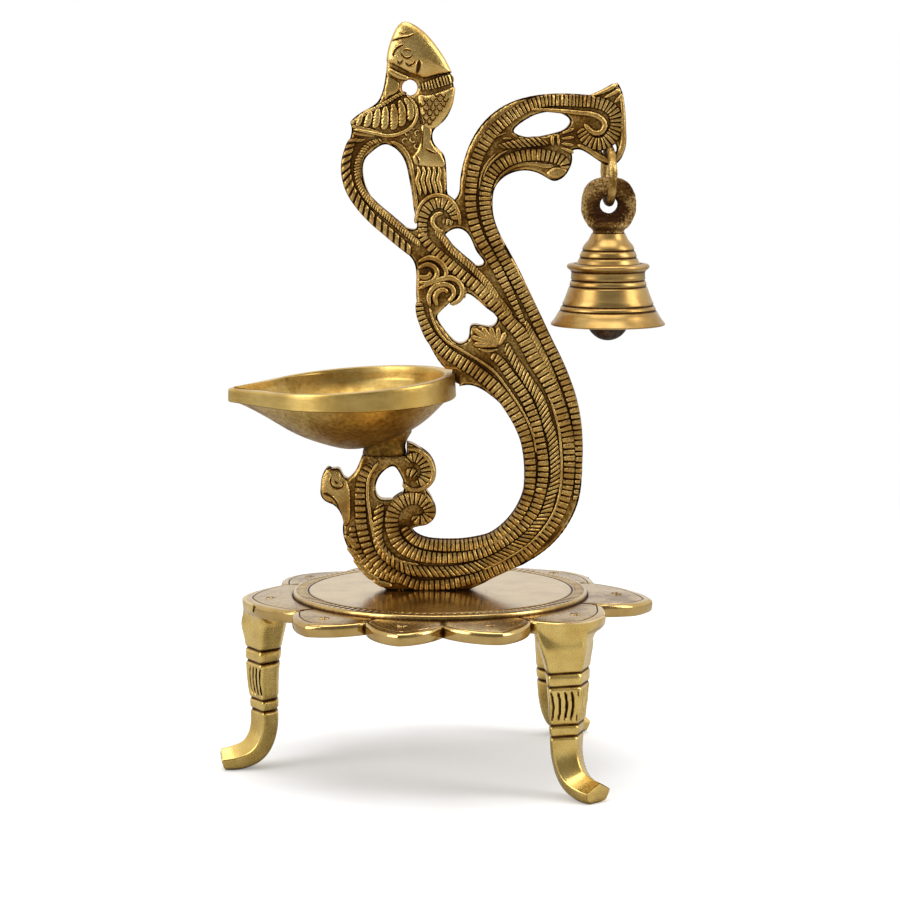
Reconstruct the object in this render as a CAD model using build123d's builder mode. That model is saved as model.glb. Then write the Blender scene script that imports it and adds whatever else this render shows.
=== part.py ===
"""Brass standing oil lamp: a lotus plate on three legs, an openwork peacock scroll, a lamp bowl and a bell.

Millimetres, +Z up. The origin is on the floor under the middle of the plate. +X is the bell's side,
-X the lamp's spout, and -Y the front.
"""

import os

from math import cos, radians, sin

from build123d import *

os.makedirs("parts", exist_ok=True)

# Driving dimensions
PLATE_TOP = 51.0
PLATE_STEP = 1.4
PLATE_THICKNESS = 4.0
DISC_RADIUS = 41.5
RING_INNER = 37.4
NOTCH_RADIUS = 48.0
SCROLL_THICKNESS = 5.4
BELL_X = 46.9
HANG_Z = 175.1
FIT_GAP = 0.1

PLATE_UNDER = PLATE_TOP - PLATE_THICKNESS
PETAL_TOP = PLATE_TOP - PLATE_STEP

# For each petal, in degrees from +X: the notch before it, and its tip, then the radius of the tip.
PETALS = (
    (339, 356, 60.0),
    (23, 48, 55.6),
    (70, 84, 56.0),
    (98, 112, 55.6),
    (126, 140, 55.6),
    (160, 183, 55.6),
    (214, 230, 56.4),
    (245, 259, 57.4),
    (271, 287, 57.0),
    (301, 315, 56.6),
)
LEG_DIRECTIONS = {"leg_left": 183, "leg_front": 314, "leg_rear": 48}


def save(part, label):
    """Labels a finished piece and writes its STEP file."""
    part.label = label
    export_step(part, f"parts/{label}.step")


def polar(radius, degrees):
    """The point at that radius and direction in a plan view."""
    return (radius * cos(radians(degrees)), radius * sin(radians(degrees)))


# --- Fixings shared by the plate, the scroll and the legs ---
SCREW_XS = (-11.0, 4.0)
SCREW_RADIUS = 1.95
SCREW_DEPTH = 8.0
SCREW_HEAD_RADIUS = 3.5
SCREW_HEAD_HEIGHT = 2.6
SLOT_WIDTH = 0.9
SLOT_DEPTH = 1.1
TAPPED_RADIUS = 2.0
CLEARANCE_RADIUS = 2.25
WASHER_RADIUS = 4.5
WASHER_THICKNESS = 0.8
SPIGOT_RADIUS = 2.5
SPIGOT_LENGTH = 2.4
SPIGOT_AT = 49.5


# --- The lotus plate ---
with BuildPart() as base_plate:
    with BuildSketch(Plane.XY.offset(PLATE_UNDER)):
        with BuildLine():
            for index, (notch, tip, tip_radius) in enumerate(PETALS):
                following = PETALS[(index + 1) % len(PETALS)][0]
                start = polar(NOTCH_RADIUS, notch)
                point = polar(tip_radius, tip)
                end = polar(NOTCH_RADIUS, following)
                rise = (tip_radius - NOTCH_RADIUS) * 0.62 + NOTCH_RADIUS
                before = (notch + ((tip - notch) % 360) * 0.45) % 360
                after = (tip + ((following - tip) % 360) * 0.55) % 360
                Spline(start, polar(rise, before), point)
                Spline(point, polar(rise, after), end)
        make_face()
    extrude(amount=PETAL_TOP - PLATE_UNDER)
    # The disc stands a step above the petals, with a groove along the inside of its border.
    with BuildSketch(Plane.XY.offset(PETAL_TOP)):
        Circle(DISC_RADIUS)
    extrude(amount=PLATE_STEP)
    with BuildSketch(Plane.XY.offset(PLATE_TOP)):
        Circle(RING_INNER)
        Circle(RING_INNER - 0.5, mode=Mode.SUBTRACT)
    extrude(amount=-0.4, mode=Mode.SUBTRACT)
    with Locations(*[(x, 0, PLATE_UNDER) for x in SCREW_XS]):
        Cylinder(CLEARANCE_RADIUS, PLATE_THICKNESS, align=(Align.CENTER, Align.CENTER, Align.MIN),
                 mode=Mode.SUBTRACT)
    with Locations(*[(*polar(SPIGOT_AT, a), PLATE_UNDER) for a in LEG_DIRECTIONS.values()]):
        Cylinder(SPIGOT_RADIUS + FIT_GAP / 2, SPIGOT_LENGTH + FIT_GAP,
                 align=(Align.CENTER, Align.CENTER, Align.MIN), mode=Mode.SUBTRACT)
save(base_plate.part, "base_plate")

# --- The legs ---
# Each section of a leg, from the plate down to the toe: height of its outer ridge, radius of the ridge,
# how far the side corners lie inwards and sideways, the depth to the back, its half width, and the tilt.
LEG_SECTIONS = (
    (PLATE_UNDER, 55.2, 7.0, 11.0, 12.6, 6.0, 0),
    (42.0, 56.6, 6.4, 10.4, 13.2, 5.4, 0),
    (36.0, 55.5, 4.8, 8.7, 10.8, 4.2, 0),
    (27.0, 55.1, 4.4, 8.0, 9.4, 3.4, 0),
    (18.0, 54.1, 4.0, 6.8, 8.2, 2.9, 0),
    (12.0, 54.2, 3.8, 6.0, 8.0, 2.7, 8),
    (8.2, 56.0, 3.6, 5.4, 8.0, 2.7, 38),
    (6.6, 59.2, 3.2, 5.0, 7.4, 3.0, 62),
    (5.8, 62.4, 2.6, 4.8, 6.0, 3.6, 80),
)


def leg(direction):
    """One cabriole leg, standing in the given direction, with the spigot that enters the plate."""
    with BuildPart() as made:
        for height, ridge, inward, sideways, depth, half_width, tilt in LEG_SECTIONS:
            plane = Plane(
                origin=(ridge, 0, height),
                x_dir=(cos(radians(tilt)), 0, sin(radians(tilt))),
                z_dir=(-sin(radians(tilt)), 0, cos(radians(tilt))),
            )
            with BuildSketch(plane):
                with BuildLine():
                    Polyline(
                        (0, 0), (-inward, sideways), (-depth, half_width),
                        (-depth, -half_width), (-inward, -sideways), close=True,
                    )
                make_face()
        loft(ruled=True)
        with Locations((SPIGOT_AT, 0, PLATE_UNDER)):
            Cylinder(SPIGOT_RADIUS, SPIGOT_LENGTH, align=(Align.CENTER, Align.CENTER, Align.MIN))
        # The foot is filed flat where it stands.
        with Locations((SPIGOT_AT, 0, 0)):
            Box(60, 60, 20, align=(Align.CENTER, Align.CENTER, Align.MAX), mode=Mode.SUBTRACT)
    return made.part.rotate(Axis.Z, direction)


for leg_name, leg_direction in LEG_DIRECTIONS.items():
    save(leg(leg_direction), leg_name)

# --- The peacock scroll ---
# Its outline runs clockwise from the crown, and each spline ends at a corner of the casting.
SEAT_Z = 89.4
SEAT_LEFT = -21.9
SEAT_RIGHT = -9.4
BREAST_AND_ARCH = (
    (-10.6, 209.8), (-8.0, 209.5), (-4.0, 206.6), (0.0, 201.6), (2.7, 196.4), (3.9, 191.0), (3.0, 186.0),
    (0.6, 182.3), (-1.7, 180.2), (-2.1, 178.0), (-0.9, 175.5), (1.0, 173.4), (1.7, 170.0), (1.9, 165.0),
    (2.4, 162.0), (3.6, 160.9), (4.8, 161.9), (5.5, 165.5), (6.4, 171.0), (8.2, 176.3), (11.6, 181.9),
    (16.0, 185.9), (21.5, 188.6), (28.0, 190.0), (35.0, 190.3), (41.5, 189.9),
)
CREST = ((41.5, 189.9), (45.4, 191.6), (49.0, 193.3))
BEAK = (
    (49.0, 193.3), (50.4, 190.6), (51.0, 186.0), (51.4, 181.0), (51.2, 176.0), (50.4, 172.8), (48.8, 171.0),
    (46.6, 170.5), (44.2, 171.6), (41.3, 173.6), (38.4, 174.9), (36.3, 174.4),
)
STEM_RIGHT = (
    (36.3, 174.4), (36.6, 171.8), (35.6, 169.0), (33.6, 166.8), (31.6, 166.2), (29.4, 167.2), (26.6, 168.6),
    (23.5, 169.1), (20.4, 168.6), (17.4, 167.0), (15.3, 164.4), (14.6, 161.0), (14.9, 156.5), (16.6, 151.6),
    (20.2, 145.0), (24.3, 136.9), (28.3, 128.5), (32.2, 120.1), (35.7, 112.0), (38.2, 103.5), (39.8, 94.5),
    (39.9, 85.0), (39.0, 77.0), (36.4, 70.5), (32.2, 64.8), (26.5, 60.2), (19.0, 56.3), (12.5, 53.2),
    (8.0, PLATE_TOP),
)
FEATHERED_FOOT = (
    (-15.0, PLATE_TOP), (-18.6, 53.6), (-22.4, 57.6), (-25.4, 62.0), (-27.2, 66.4), (-27.3, 70.2),
)
FINIAL = (
    (-27.3, 70.2), (-28.0, 73.0), (-29.8, 75.2), (-32.2, 76.4), (-33.5, 78.0), (-33.6, 80.6), (-33.0, 84.0),
    (-31.5, 86.1),
)
FINIAL_TOP = ((-31.5, 86.1), (-30.0, 85.6), (-28.6, 85.7), (-27.5, 84.0), (-26.0, 82.8))
LAMP_SCROLL = ((-26.0, 82.8), (-24.6, 83.8), (-23.2, 86.0), (SEAT_LEFT, SEAT_Z))
UPPER_CURL = (
    (SEAT_RIGHT, 93.2), (-7.6, 92.6), (-5.0, 90.8), (-2.6, 88.0), (-1.5, 85.0), (-2.3, 82.2), (-4.4, 80.0),
)
LOWER_CURL = (
    (-4.4, 80.0), (-3.0, 78.3), (-1.8, 75.4), (-2.2, 72.2), (-4.2, 70.1), (-6.4, 69.2), (-8.0, 68.5),
)
LOOP_INSIDE = (
    (-8.0, 68.5), (-7.0, 66.6), (-5.0, 65.1), (-2.0, 64.2), (3.0, 63.9), (8.0, 64.4), (13.0, 65.8),
    (17.6, 68.2), (20.9, 71.8), (22.8, 76.2), (23.6, 81.5), (23.5, 87.5), (22.5, 93.5), (20.6, 98.9),
    (17.8, 103.1), (14.2, 106.3), (10.4, 108.7), (7.6, 109.3), (5.4, 108.8),
)
STEM_LEFT = (
    (1.6, 113.7), (-0.6, 116.3), (-2.6, 119.8), (-4.5, 123.5), (-5.9, 127.5), (-6.5, 132.0), (-6.7, 137.0),
    (-6.7, 141.5), (-7.7, 144.5), (-10.3, 147.0), (-14.0, 150.4), (-18.0, 153.9), (-22.0, 157.7),
    (-25.0, 161.6), (-26.9, 165.6), (-27.4, 169.4), (-26.7, 173.0), (-25.4, 176.6), (-24.5, 179.6),
    (-24.9, 182.4),
)
BACK = (
    (-24.9, 182.4), (-23.0, 184.3), (-20.0, 186.1), (-17.4, 187.9), (-16.1, 190.2), (-15.3, 193.4),
    (-14.8, 197.0), (-14.4, 201.0), (-13.4, 204.8), (-12.1, 207.8), (-10.6, 209.8),
)
# The openings through the casting, each a closed curve.
TAIL_OPENING = (
    (-14.4, 176.2), (-11.6, 174.5), (-9.8, 171.8), (-8.7, 167.6), (-7.8, 162.6), (-7.0, 157.0),
    (-6.8, 152.9), (-9.5, 153.3), (-13.2, 156.1), (-17.0, 159.3), (-19.8, 162.9), (-21.3, 167.4),
    (-21.0, 171.8), (-18.2, 174.8),
)
NECK_OPENING = (
    (1.4, 151.2), (3.1, 152.6), (5.4, 153.0), (7.4, 151.9), (9.0, 149.3), (10.6, 146.0), (12.1, 143.2),
    (10.8, 142.6), (8.6, 143.6), (5.9, 145.7), (3.2, 148.4),
)
HEART_OPENING = (
    (-0.5, 129.2), (1.6, 131.3), (4.2, 133.5), (6.8, 135.0), (10.0, 133.5), (13.0, 130.8), (16.0, 127.6),
    (15.0, 126.0), (11.6, 126.0), (8.6, 125.9), (7.9, 122.4), (5.6, 121.0), (2.6, 123.0), (0.3, 126.0),
)
ARCH_OPENING = (
    (20.8, 179.4), (23.4, 178.4), (27.5, 178.5), (31.6, 179.4), (35.2, 181.1), (36.0, 182.8), (34.2, 184.5),
    (30.6, 185.3), (26.8, 184.6), (23.4, 182.9),
)
LAMP_OPENING = (
    (-18.2, 80.2), (-17.2, 83.3), (-15.2, 85.5), (-13.0, 86.3), (-11.7, 84.9), (-10.5, 82.4), (-10.2, 79.6),
    (-12.0, 77.4), (-14.4, 76.8), (-17.2, 77.3),
)
NECK_HOLE_AT = (-8.4, 191.9)
NECK_HOLE_RADIUS = 2.15
BEAK_HOLE_RADIUS = 2.15
LAMP_PEG_X = -15.8
LAMP_PEG_RADIUS = 1.6
LAMP_PEG_LENGTH = 1.8

with BuildPart() as peacock_scroll:
    with BuildSketch(Plane.XZ):
        with BuildLine():
            Spline(*BREAST_AND_ARCH)
            Spline(*CREST)
            Spline(*BEAK)
            Spline(*STEM_RIGHT)
            Line(STEM_RIGHT[-1], FEATHERED_FOOT[0])
            Spline(*FEATHERED_FOOT)
            Spline(*FINIAL)
            Spline(*FINIAL_TOP)
            Spline(*LAMP_SCROLL)
            Polyline(LAMP_SCROLL[-1], (SEAT_RIGHT, SEAT_Z), UPPER_CURL[0])
            Spline(*UPPER_CURL)
            Spline(*LOWER_CURL)
            Spline(*LOOP_INSIDE)
            Polyline(LOOP_INSIDE[-1], (5.4, 112.2), (4.4, 113.4), STEM_LEFT[0])
            Spline(*STEM_LEFT)
            Spline(*BACK)
        make_face()
        for opening in (TAIL_OPENING, NECK_OPENING, HEART_OPENING, ARCH_OPENING, LAMP_OPENING):
            with BuildLine():
                Spline(*opening, periodic=True)
            make_face(mode=Mode.SUBTRACT)
        with Locations(NECK_HOLE_AT):
            Circle(NECK_HOLE_RADIUS, mode=Mode.SUBTRACT)
        with Locations((BELL_X, HANG_Z)):
            Circle(BEAK_HOLE_RADIUS, mode=Mode.SUBTRACT)
    extrude(amount=SCROLL_THICKNESS / 2, both=True)
    with Locations(*[(x, 0, PLATE_TOP) for x in SCREW_XS]):
        Cylinder(TAPPED_RADIUS, SCREW_DEPTH, align=(Align.CENTER, Align.CENTER, Align.MIN),
                 mode=Mode.SUBTRACT)
    with Locations((LAMP_PEG_X, 0, SEAT_Z)):
        Cylinder(LAMP_PEG_RADIUS + FIT_GAP / 2, LAMP_PEG_LENGTH + FIT_GAP,
                 align=(Align.CENTER, Align.CENTER, Align.MAX), mode=Mode.SUBTRACT)
save(peacock_scroll.part, "peacock_scroll")

# --- The two screws and washers that hold the scroll on the plate, from below ---
with BuildPart() as scroll_washers:
    with Locations(*[(x, 0, PLATE_UNDER) for x in SCREW_XS]):
        Cylinder(WASHER_RADIUS, WASHER_THICKNESS, align=(Align.CENTER, Align.CENTER, Align.MAX))
        Cylinder(CLEARANCE_RADIUS, WASHER_THICKNESS, align=(Align.CENTER, Align.CENTER, Align.MAX),
                 mode=Mode.SUBTRACT)
save(scroll_washers.part, "scroll_washers")

HEAD_TOP = PLATE_UNDER - WASHER_THICKNESS
with BuildPart() as scroll_screws:
    with Locations(*[(x, 0, HEAD_TOP) for x in SCREW_XS]):
        Cylinder(SCREW_HEAD_RADIUS, SCREW_HEAD_HEIGHT, align=(Align.CENTER, Align.CENTER, Align.MAX))
        Cylinder(SCREW_RADIUS, PLATE_TOP + SCREW_DEPTH - 0.5 - HEAD_TOP,
                 align=(Align.CENTER, Align.CENTER, Align.MIN))
    with Locations(*[(x, 0, HEAD_TOP - SCREW_HEAD_HEIGHT) for x in SCREW_XS]):
        Box(SLOT_WIDTH, 3 * SCREW_HEAD_RADIUS, SLOT_DEPTH, align=(Align.CENTER, Align.CENTER, Align.MIN),
            mode=Mode.SUBTRACT)
save(scroll_screws.part, "scroll_screws")

# --- The lamp bowl, with its spout, foot and peg ---
BOWL_X = -23.2
BOWL_FLOOR = 91.5
BOWL_RADIUS = 28.0
BOWL_WALL = 1.7
SPOUT_TIP_RADIUS = 3.2
SPOUT_REACH = 32.8
BAND_LOW = 13.8
BAND_HIGH = 19.2
BRIM_SLOPE = 2.7
CHANNEL_FLOOR = 15.6
BOWL_DIP_LEFT = 1.3
BELLY_SHIFT = -1.2
BOWL_DIP_FRONT = 1.6
FOOT_TOP_RADIUS = 6.6
FOOT_RADIUS = 5.8
BRIM_TOP = BAND_HIGH + 2.5
# The belly's outside and inside, as radius and height above the bowl's lowest point.
BELLY = ((0, 0), (3.5, 0), (10.5, 2.2), (16.9, 5.1), (21.8, 8.7), (26.4, BAND_LOW))
HOLLOW = ((0, 2.0), (4.0, 2.1), (10.5, 4.1), (16.0, 6.8), (20.6, 10.5), (24.4, 15.0), (25.6, BRIM_TOP))


def teardrop(radius, tip_radius):
    """A round plan drawn out to a rounded spout at -X."""
    with BuildSketch() as plan:
        Circle(radius)
        with Locations((-SPOUT_REACH, 0)):
            Circle(tip_radius)
        make_hull()
    return plan.sketch


belly_plane = Plane((BELLY_SHIFT, 0, 0), x_dir=(1, 0, 0), z_dir=(0, -1, 0))
belly_axis = Axis((BELLY_SHIFT, 0, 0), (0, 0, 1))
with BuildPart() as lamp_bowl:
    with BuildSketch(belly_plane):
        with BuildLine():
            Spline(*BELLY[1:])
            Polyline(BELLY[-1], (BELLY[-1][0], BAND_LOW + 1), (0, BAND_LOW + 1), (0, 0), BELLY[1])
        make_face()
    revolve(axis=belly_axis)
    with BuildSketch(Plane.XY.offset(BAND_LOW)):
        add(teardrop(BOWL_RADIUS, SPOUT_TIP_RADIUS))
    extrude(amount=BRIM_TOP - BAND_LOW, taper=2)
    with BuildSketch(belly_plane):
        with BuildLine():
            Spline(*HOLLOW[1:])
            Polyline(HOLLOW[-1], (0, BRIM_TOP), HOLLOW[0], HOLLOW[1])
        make_face()
    revolve(axis=belly_axis, mode=Mode.SUBTRACT)
    with BuildSketch(Plane.XY.offset(CHANNEL_FLOOR)):
        add(teardrop(BOWL_RADIUS - BOWL_WALL - 1.4, SPOUT_TIP_RADIUS - BOWL_WALL))
    extrude(amount=BAND_HIGH, mode=Mode.SUBTRACT)
    # The brim rises from the spout to the far side.
    split(bisect_by=Plane.XY.offset(BAND_HIGH).rotated((0, -BRIM_SLOPE, 0)), keep=Keep.BOTTOM)

bowl_set = lamp_bowl.part.rotate(Axis.Y, -BOWL_DIP_LEFT).rotate(Axis.X, BOWL_DIP_FRONT)
with BuildPart() as lamp_bowl_on_foot:
    add(bowl_set.moved(Location((BOWL_X, 0, BOWL_FLOOR))))
    # The foot is run up into the belly, so its top is cut to the belly's inside.
    with BuildSketch(Plane.XY.offset(SEAT_Z)):
        with Locations((LAMP_PEG_X, 0)):
            Circle(FOOT_RADIUS)
    with BuildSketch(Plane.XY.offset(SEAT_Z + 5.6)):
        with Locations((LAMP_PEG_X - 0.4, 0)):
            Circle(FOOT_TOP_RADIUS)
    loft()
    hollow_x = BOWL_X + BELLY_SHIFT
    with BuildSketch(Plane((hollow_x, 0, BOWL_FLOOR), x_dir=(1, 0, 0), z_dir=(0, -1, 0))):
        with BuildLine():
            Spline(*HOLLOW[1:])
            Polyline(HOLLOW[-1], (0, BRIM_TOP), HOLLOW[0], HOLLOW[1])
        make_face()
    revolve(axis=Axis((hollow_x, 0, 0), (0, 0, 1)), mode=Mode.SUBTRACT)
    with Locations((LAMP_PEG_X, 0, SEAT_Z)):
        Cylinder(LAMP_PEG_RADIUS, LAMP_PEG_LENGTH, align=(Align.CENTER, Align.CENTER, Align.MAX))
save(lamp_bowl_on_foot.part, "lamp_bowl")

# --- The ring that hangs the bell, turned a little from square to the scroll ---
RING_RADIUS = 7.45
RING_WIRE = 1.2
RING_TOP = HANG_Z - 0.05
RING_Z = RING_TOP - RING_RADIUS
RING_TURN = 6.0
RING_NORMAL = (cos(radians(RING_TURN)), sin(radians(RING_TURN)), 0)

with BuildPart(Plane((BELL_X, 0, RING_Z), z_dir=RING_NORMAL)) as bell_ring:
    Torus(RING_RADIUS, RING_WIRE)
save(bell_ring.part, "bell_ring")

# --- The bell ---
CROWN_Z = 151.6
LIP_Z = 126.0
STUD_RADIUS = 2.0
# Radius and height of the outside from the crown to the lip; flat steps are turned grooves.
DOME_OUTSIDE = ((4.7, CROWN_Z), (5.6, 149.8), (6.9, 148.2), (7.6, 146.4), (8.3, 144.4), (8.8, 143.3))
FLANGE = ((11.1, 143.1), (11.5, 142.5), (11.0, 141.5), (10.3, 141.0))
SKIRT = ((10.3, 141.0), (10.4, 139.0), (10.9, 136.9), (11.9, 134.0), (13.2, 131.0), (14.6, 128.3), (15.9, 126.6))
LIP = ((15.95, 126.3), (15.6, LIP_Z), (14.4, LIP_Z))
INSIDE = ((14.4, LIP_Z), (13.0, 128.3), (11.4, 131.2), (10.0, 134.6), (9.0, 138.4), (8.2, 142.2), (6.6, 146.0))
CEILING = ((4.6, 148.6), (0.0, 148.6))
GROOVES = ((7.5, 146.9), (10.5, 138.6), (10.9, 137.0), (12.95, 131.6), (13.55, 130.2))
GROOVE_RADIUS = 0.3

with BuildPart() as bell_dome:
    with BuildSketch(Plane.XZ):
        with BuildLine():
            Spline(*DOME_OUTSIDE)
            Polyline(DOME_OUTSIDE[-1], *FLANGE)
            Spline(*SKIRT)
            Polyline(SKIRT[-1], *LIP)
            Spline(*INSIDE)
            Polyline(INSIDE[-1], *CEILING, (0.0, CROWN_Z), DOME_OUTSIDE[0])
        make_face()
        with Locations(*GROOVES):
            Circle(GROOVE_RADIUS, mode=Mode.SUBTRACT)
    revolve(axis=Axis.Z)
    with Locations((0, 0, CEILING[0][1])):
        Cylinder(STUD_RADIUS + FIT_GAP / 2, 10, align=(Align.CENTER, Align.CENTER, Align.MIN),
                 mode=Mode.SUBTRACT)
save(bell_dome.part.moved(Location((BELL_X, 0, 0))), "bell_dome")

# --- The bell's loop: a rough cast eye on a collar, with a stud down through the crown ---
EYE_Z = 159.6
EYE_HOLE = 2.5
EYE_THICKNESS = 4.6
EYE_OUTLINE = (
    (4.4, 152.6), (6.2, 154.6), (7.2, 156.6), (7.6, 159.6), (7.1, 162.8), (5.4, 165.6), (2.6, 167.0),
    (0.0, 167.1),
)
COLLAR = ((0, CROWN_Z), (4.6, CROWN_Z), (4.2, 152.4), (5.6, 153.6), (5.2, 154.8), (3.0, 155.6), (0, 155.6))
TANG_THICKNESS = 1.6
TANG_LOW = 145.5
TANG_HOLE_Z = 147.2
TANG_HOLE = 0.85

with BuildPart() as bell_loop:
    with BuildSketch(Plane.XZ):
        with BuildLine():
            Spline(*EYE_OUTLINE)
            Spline(*[(-x, z) for x, z in reversed(EYE_OUTLINE)])
            Line((-EYE_OUTLINE[0][0], EYE_OUTLINE[0][1]), EYE_OUTLINE[0])
        make_face()
    extrude(amount=EYE_THICKNESS / 2, both=True)
    with BuildSketch(Plane.XZ):
        with BuildLine():
            Polyline(*COLLAR, close=True)
        make_face()
    revolve(axis=Axis.Z)
    with BuildSketch(Plane.XZ):
        with Locations((0, EYE_Z)):
            Circle(EYE_HOLE)
    extrude(amount=EYE_THICKNESS, both=True, mode=Mode.SUBTRACT)
    with Locations((0, 0, TANG_LOW)):
        Cylinder(STUD_RADIUS, CROWN_Z - TANG_LOW, align=(Align.CENTER, Align.CENTER, Align.MIN))
    with Locations(*[(0, s * (TANG_THICKNESS / 2 + 2), TANG_LOW) for s in (-1, 1)]):
        Box(8, 4, CEILING[0][1] - TANG_LOW, align=(Align.CENTER, Align.CENTER, Align.MIN),
            mode=Mode.SUBTRACT)
    with Locations(Location((0, 0, TANG_HOLE_Z), (90, 0, 0))):
        Cylinder(TANG_HOLE, 8, mode=Mode.SUBTRACT)
save(bell_loop.part.moved(Location((BELL_X, 0, 0))), "bell_loop")

# --- The wire link in the tang, and the clapper that hangs from it ---
LINK_RADIUS = 2.4
LINK_WIRE = 0.6
LINK_Z = TANG_HOLE_Z - LINK_RADIUS
CLAPPER_PIVOT = LINK_Z - LINK_RADIUS
CLAPPER_EYE_Z = CLAPPER_PIVOT - 0.15
CLAPPER_EYE_HOLE = 1.0
CLAPPER_EYE_RADIUS = 1.9
CLAPPER_EYE_THICKNESS = 1.6
BALL_RADIUS = 6.0
BALL_Z = 127.1
SHANK = ((0, 141.2), (0.8, 141.2), (1.0, 138.0), (1.5, 135.0), (2.6, 132.2), (0, 132.2))

with BuildPart(Plane((BELL_X, 0, LINK_Z), z_dir=(1, 0, 0))) as clapper_link:
    Torus(LINK_RADIUS, LINK_WIRE)
save(clapper_link.part, "clapper_link")

with BuildPart() as clapper:
    with Locations((0, 0, BALL_Z)):
        Sphere(BALL_RADIUS)
    with BuildSketch(Plane.XZ):
        with BuildLine():
            Polyline(*SHANK, close=True)
        make_face()
    revolve(axis=Axis.Z)
    with Locations(Location((0, 0, CLAPPER_EYE_Z), (90, 0, 0))):
        Cylinder(CLAPPER_EYE_RADIUS, CLAPPER_EYE_THICKNESS)
        Cylinder(CLAPPER_EYE_HOLE, 4, mode=Mode.SUBTRACT)
save(clapper.part.moved(Location((BELL_X, 0, 0))), "clapper")
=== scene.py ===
"""The looks of a brass standing oil lamp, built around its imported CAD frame.

A lotus plate on three bent legs carries an openwork bird scroll, a spouted lamp bowl and a hanging bell.
Sizes are in millimetres in the classes below, and meshes are in metres: +Z up, +X the bell's side, -Y the front.
"""

import logging
import math
import random
from dataclasses import dataclass, field
from enum import Enum
from typing import Sequence

import bmesh
import bpy
import numpy as np
from mathutils import Matrix, Vector
from mathutils.bvhtree import BVHTree

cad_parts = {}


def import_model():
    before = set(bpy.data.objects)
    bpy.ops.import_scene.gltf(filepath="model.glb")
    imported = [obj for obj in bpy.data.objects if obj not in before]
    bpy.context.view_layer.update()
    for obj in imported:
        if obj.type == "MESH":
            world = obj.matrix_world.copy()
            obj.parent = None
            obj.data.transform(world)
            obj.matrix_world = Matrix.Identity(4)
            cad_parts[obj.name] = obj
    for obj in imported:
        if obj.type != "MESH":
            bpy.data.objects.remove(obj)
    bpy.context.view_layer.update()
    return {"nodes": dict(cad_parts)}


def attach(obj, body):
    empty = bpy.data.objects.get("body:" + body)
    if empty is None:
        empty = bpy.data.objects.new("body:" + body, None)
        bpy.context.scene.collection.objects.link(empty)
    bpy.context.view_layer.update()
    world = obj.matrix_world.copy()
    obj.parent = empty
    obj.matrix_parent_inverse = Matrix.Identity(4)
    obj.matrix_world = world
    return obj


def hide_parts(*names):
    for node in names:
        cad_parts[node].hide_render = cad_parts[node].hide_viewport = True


log = logging.getLogger("oil_lamp")

MM = 0.001
PATINA = "patina"
FACE_Y = 2.2
CLOUD_SCALE = 110.0
Pair = tuple[float, float]
Colour = tuple[float, float, float]


def trace(text: str) -> np.ndarray:
    """Reads a drawn line.

    Args:
        text: Pairs of millimetres, with commas between the pairs.

    Returns:
        An array of points, two numbers each.
    """
    return np.array([[float(n) for n in pair.split()] for pair in text.split(",")])


# ---------------------------------------------------------------------------------------------------------
# Mesh helpers
# ---------------------------------------------------------------------------------------------------------


def new_mesh() -> bmesh.types.BMesh:
    """A bmesh with the float layer that says how dark the patina lies."""
    mesh = bmesh.new()
    mesh.verts.layers.float.new(PATINA)
    return mesh


def lofted(mesh: bmesh.types.BMesh, grid: np.ndarray, poles: tuple[bool, bool] = (False, False)) -> None:
    """Adds a tube whose rings are the rows of a grid.

    Args:
        mesh: The bmesh to add to.
        grid: Rings by sides by four numbers: x, y and z in millimetres, and the patina.
        poles: Whether the first and the last ring close in one point instead of a cap.
    """
    rings, sides = grid.shape[:2]
    part = new_mesh()
    layer = part.verts.layers.float[PATINA]
    bmesh.ops.create_cone(part, cap_ends=not all(poles), segments=sides, radius1=1, radius2=1, depth=1)
    if rings > 2:
        lengthwise = [e for e in part.edges if abs(e.verts[0].co.z - e.verts[1].co.z) > 0.5]
        bmesh.ops.subdivide_edges(part, edges=lengthwise, cuts=rings - 2)
    ends: tuple[list, list] = ([], [])
    for vertex in part.verts:
        x, y, z = vertex.co
        ring = round((z + 0.5) * (rings - 1))
        side = round(math.atan2(x, y) / math.tau * sides) % sides
        px, py, pz, dark = grid[ring, side]
        vertex.co = (px * MM, py * MM, pz * MM)
        vertex[layer] = dark
        if ring == 0:
            ends[0].append(vertex)
        if ring == rings - 1:
            ends[1].append(vertex)
    for pole, ring_verts in zip(poles, ends):
        if pole:
            middle = sum((v.co for v in ring_verts), Vector()) / sides
            bmesh.ops.pointmerge(part, verts=ring_verts, merge_co=middle)
    data = bpy.data.meshes.new("part")
    part.to_mesh(data)
    part.free()
    mesh.from_mesh(data)
    bpy.data.meshes.remove(data)


def mirrored_back(mesh: bmesh.types.BMesh) -> None:
    """Repeats the front's relief on the back of the casting."""
    bmesh.ops.mirror(mesh, geom=mesh.verts[:] + mesh.edges[:] + mesh.faces[:], merge_dist=0.0, axis="Y")


def placed(name: str, data: bpy.types.ID) -> bpy.types.Object:
    """An object of that data, linked to the scene."""
    made = bpy.data.objects.new(name, data)
    bpy.context.scene.collection.objects.link(made)
    return made


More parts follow.
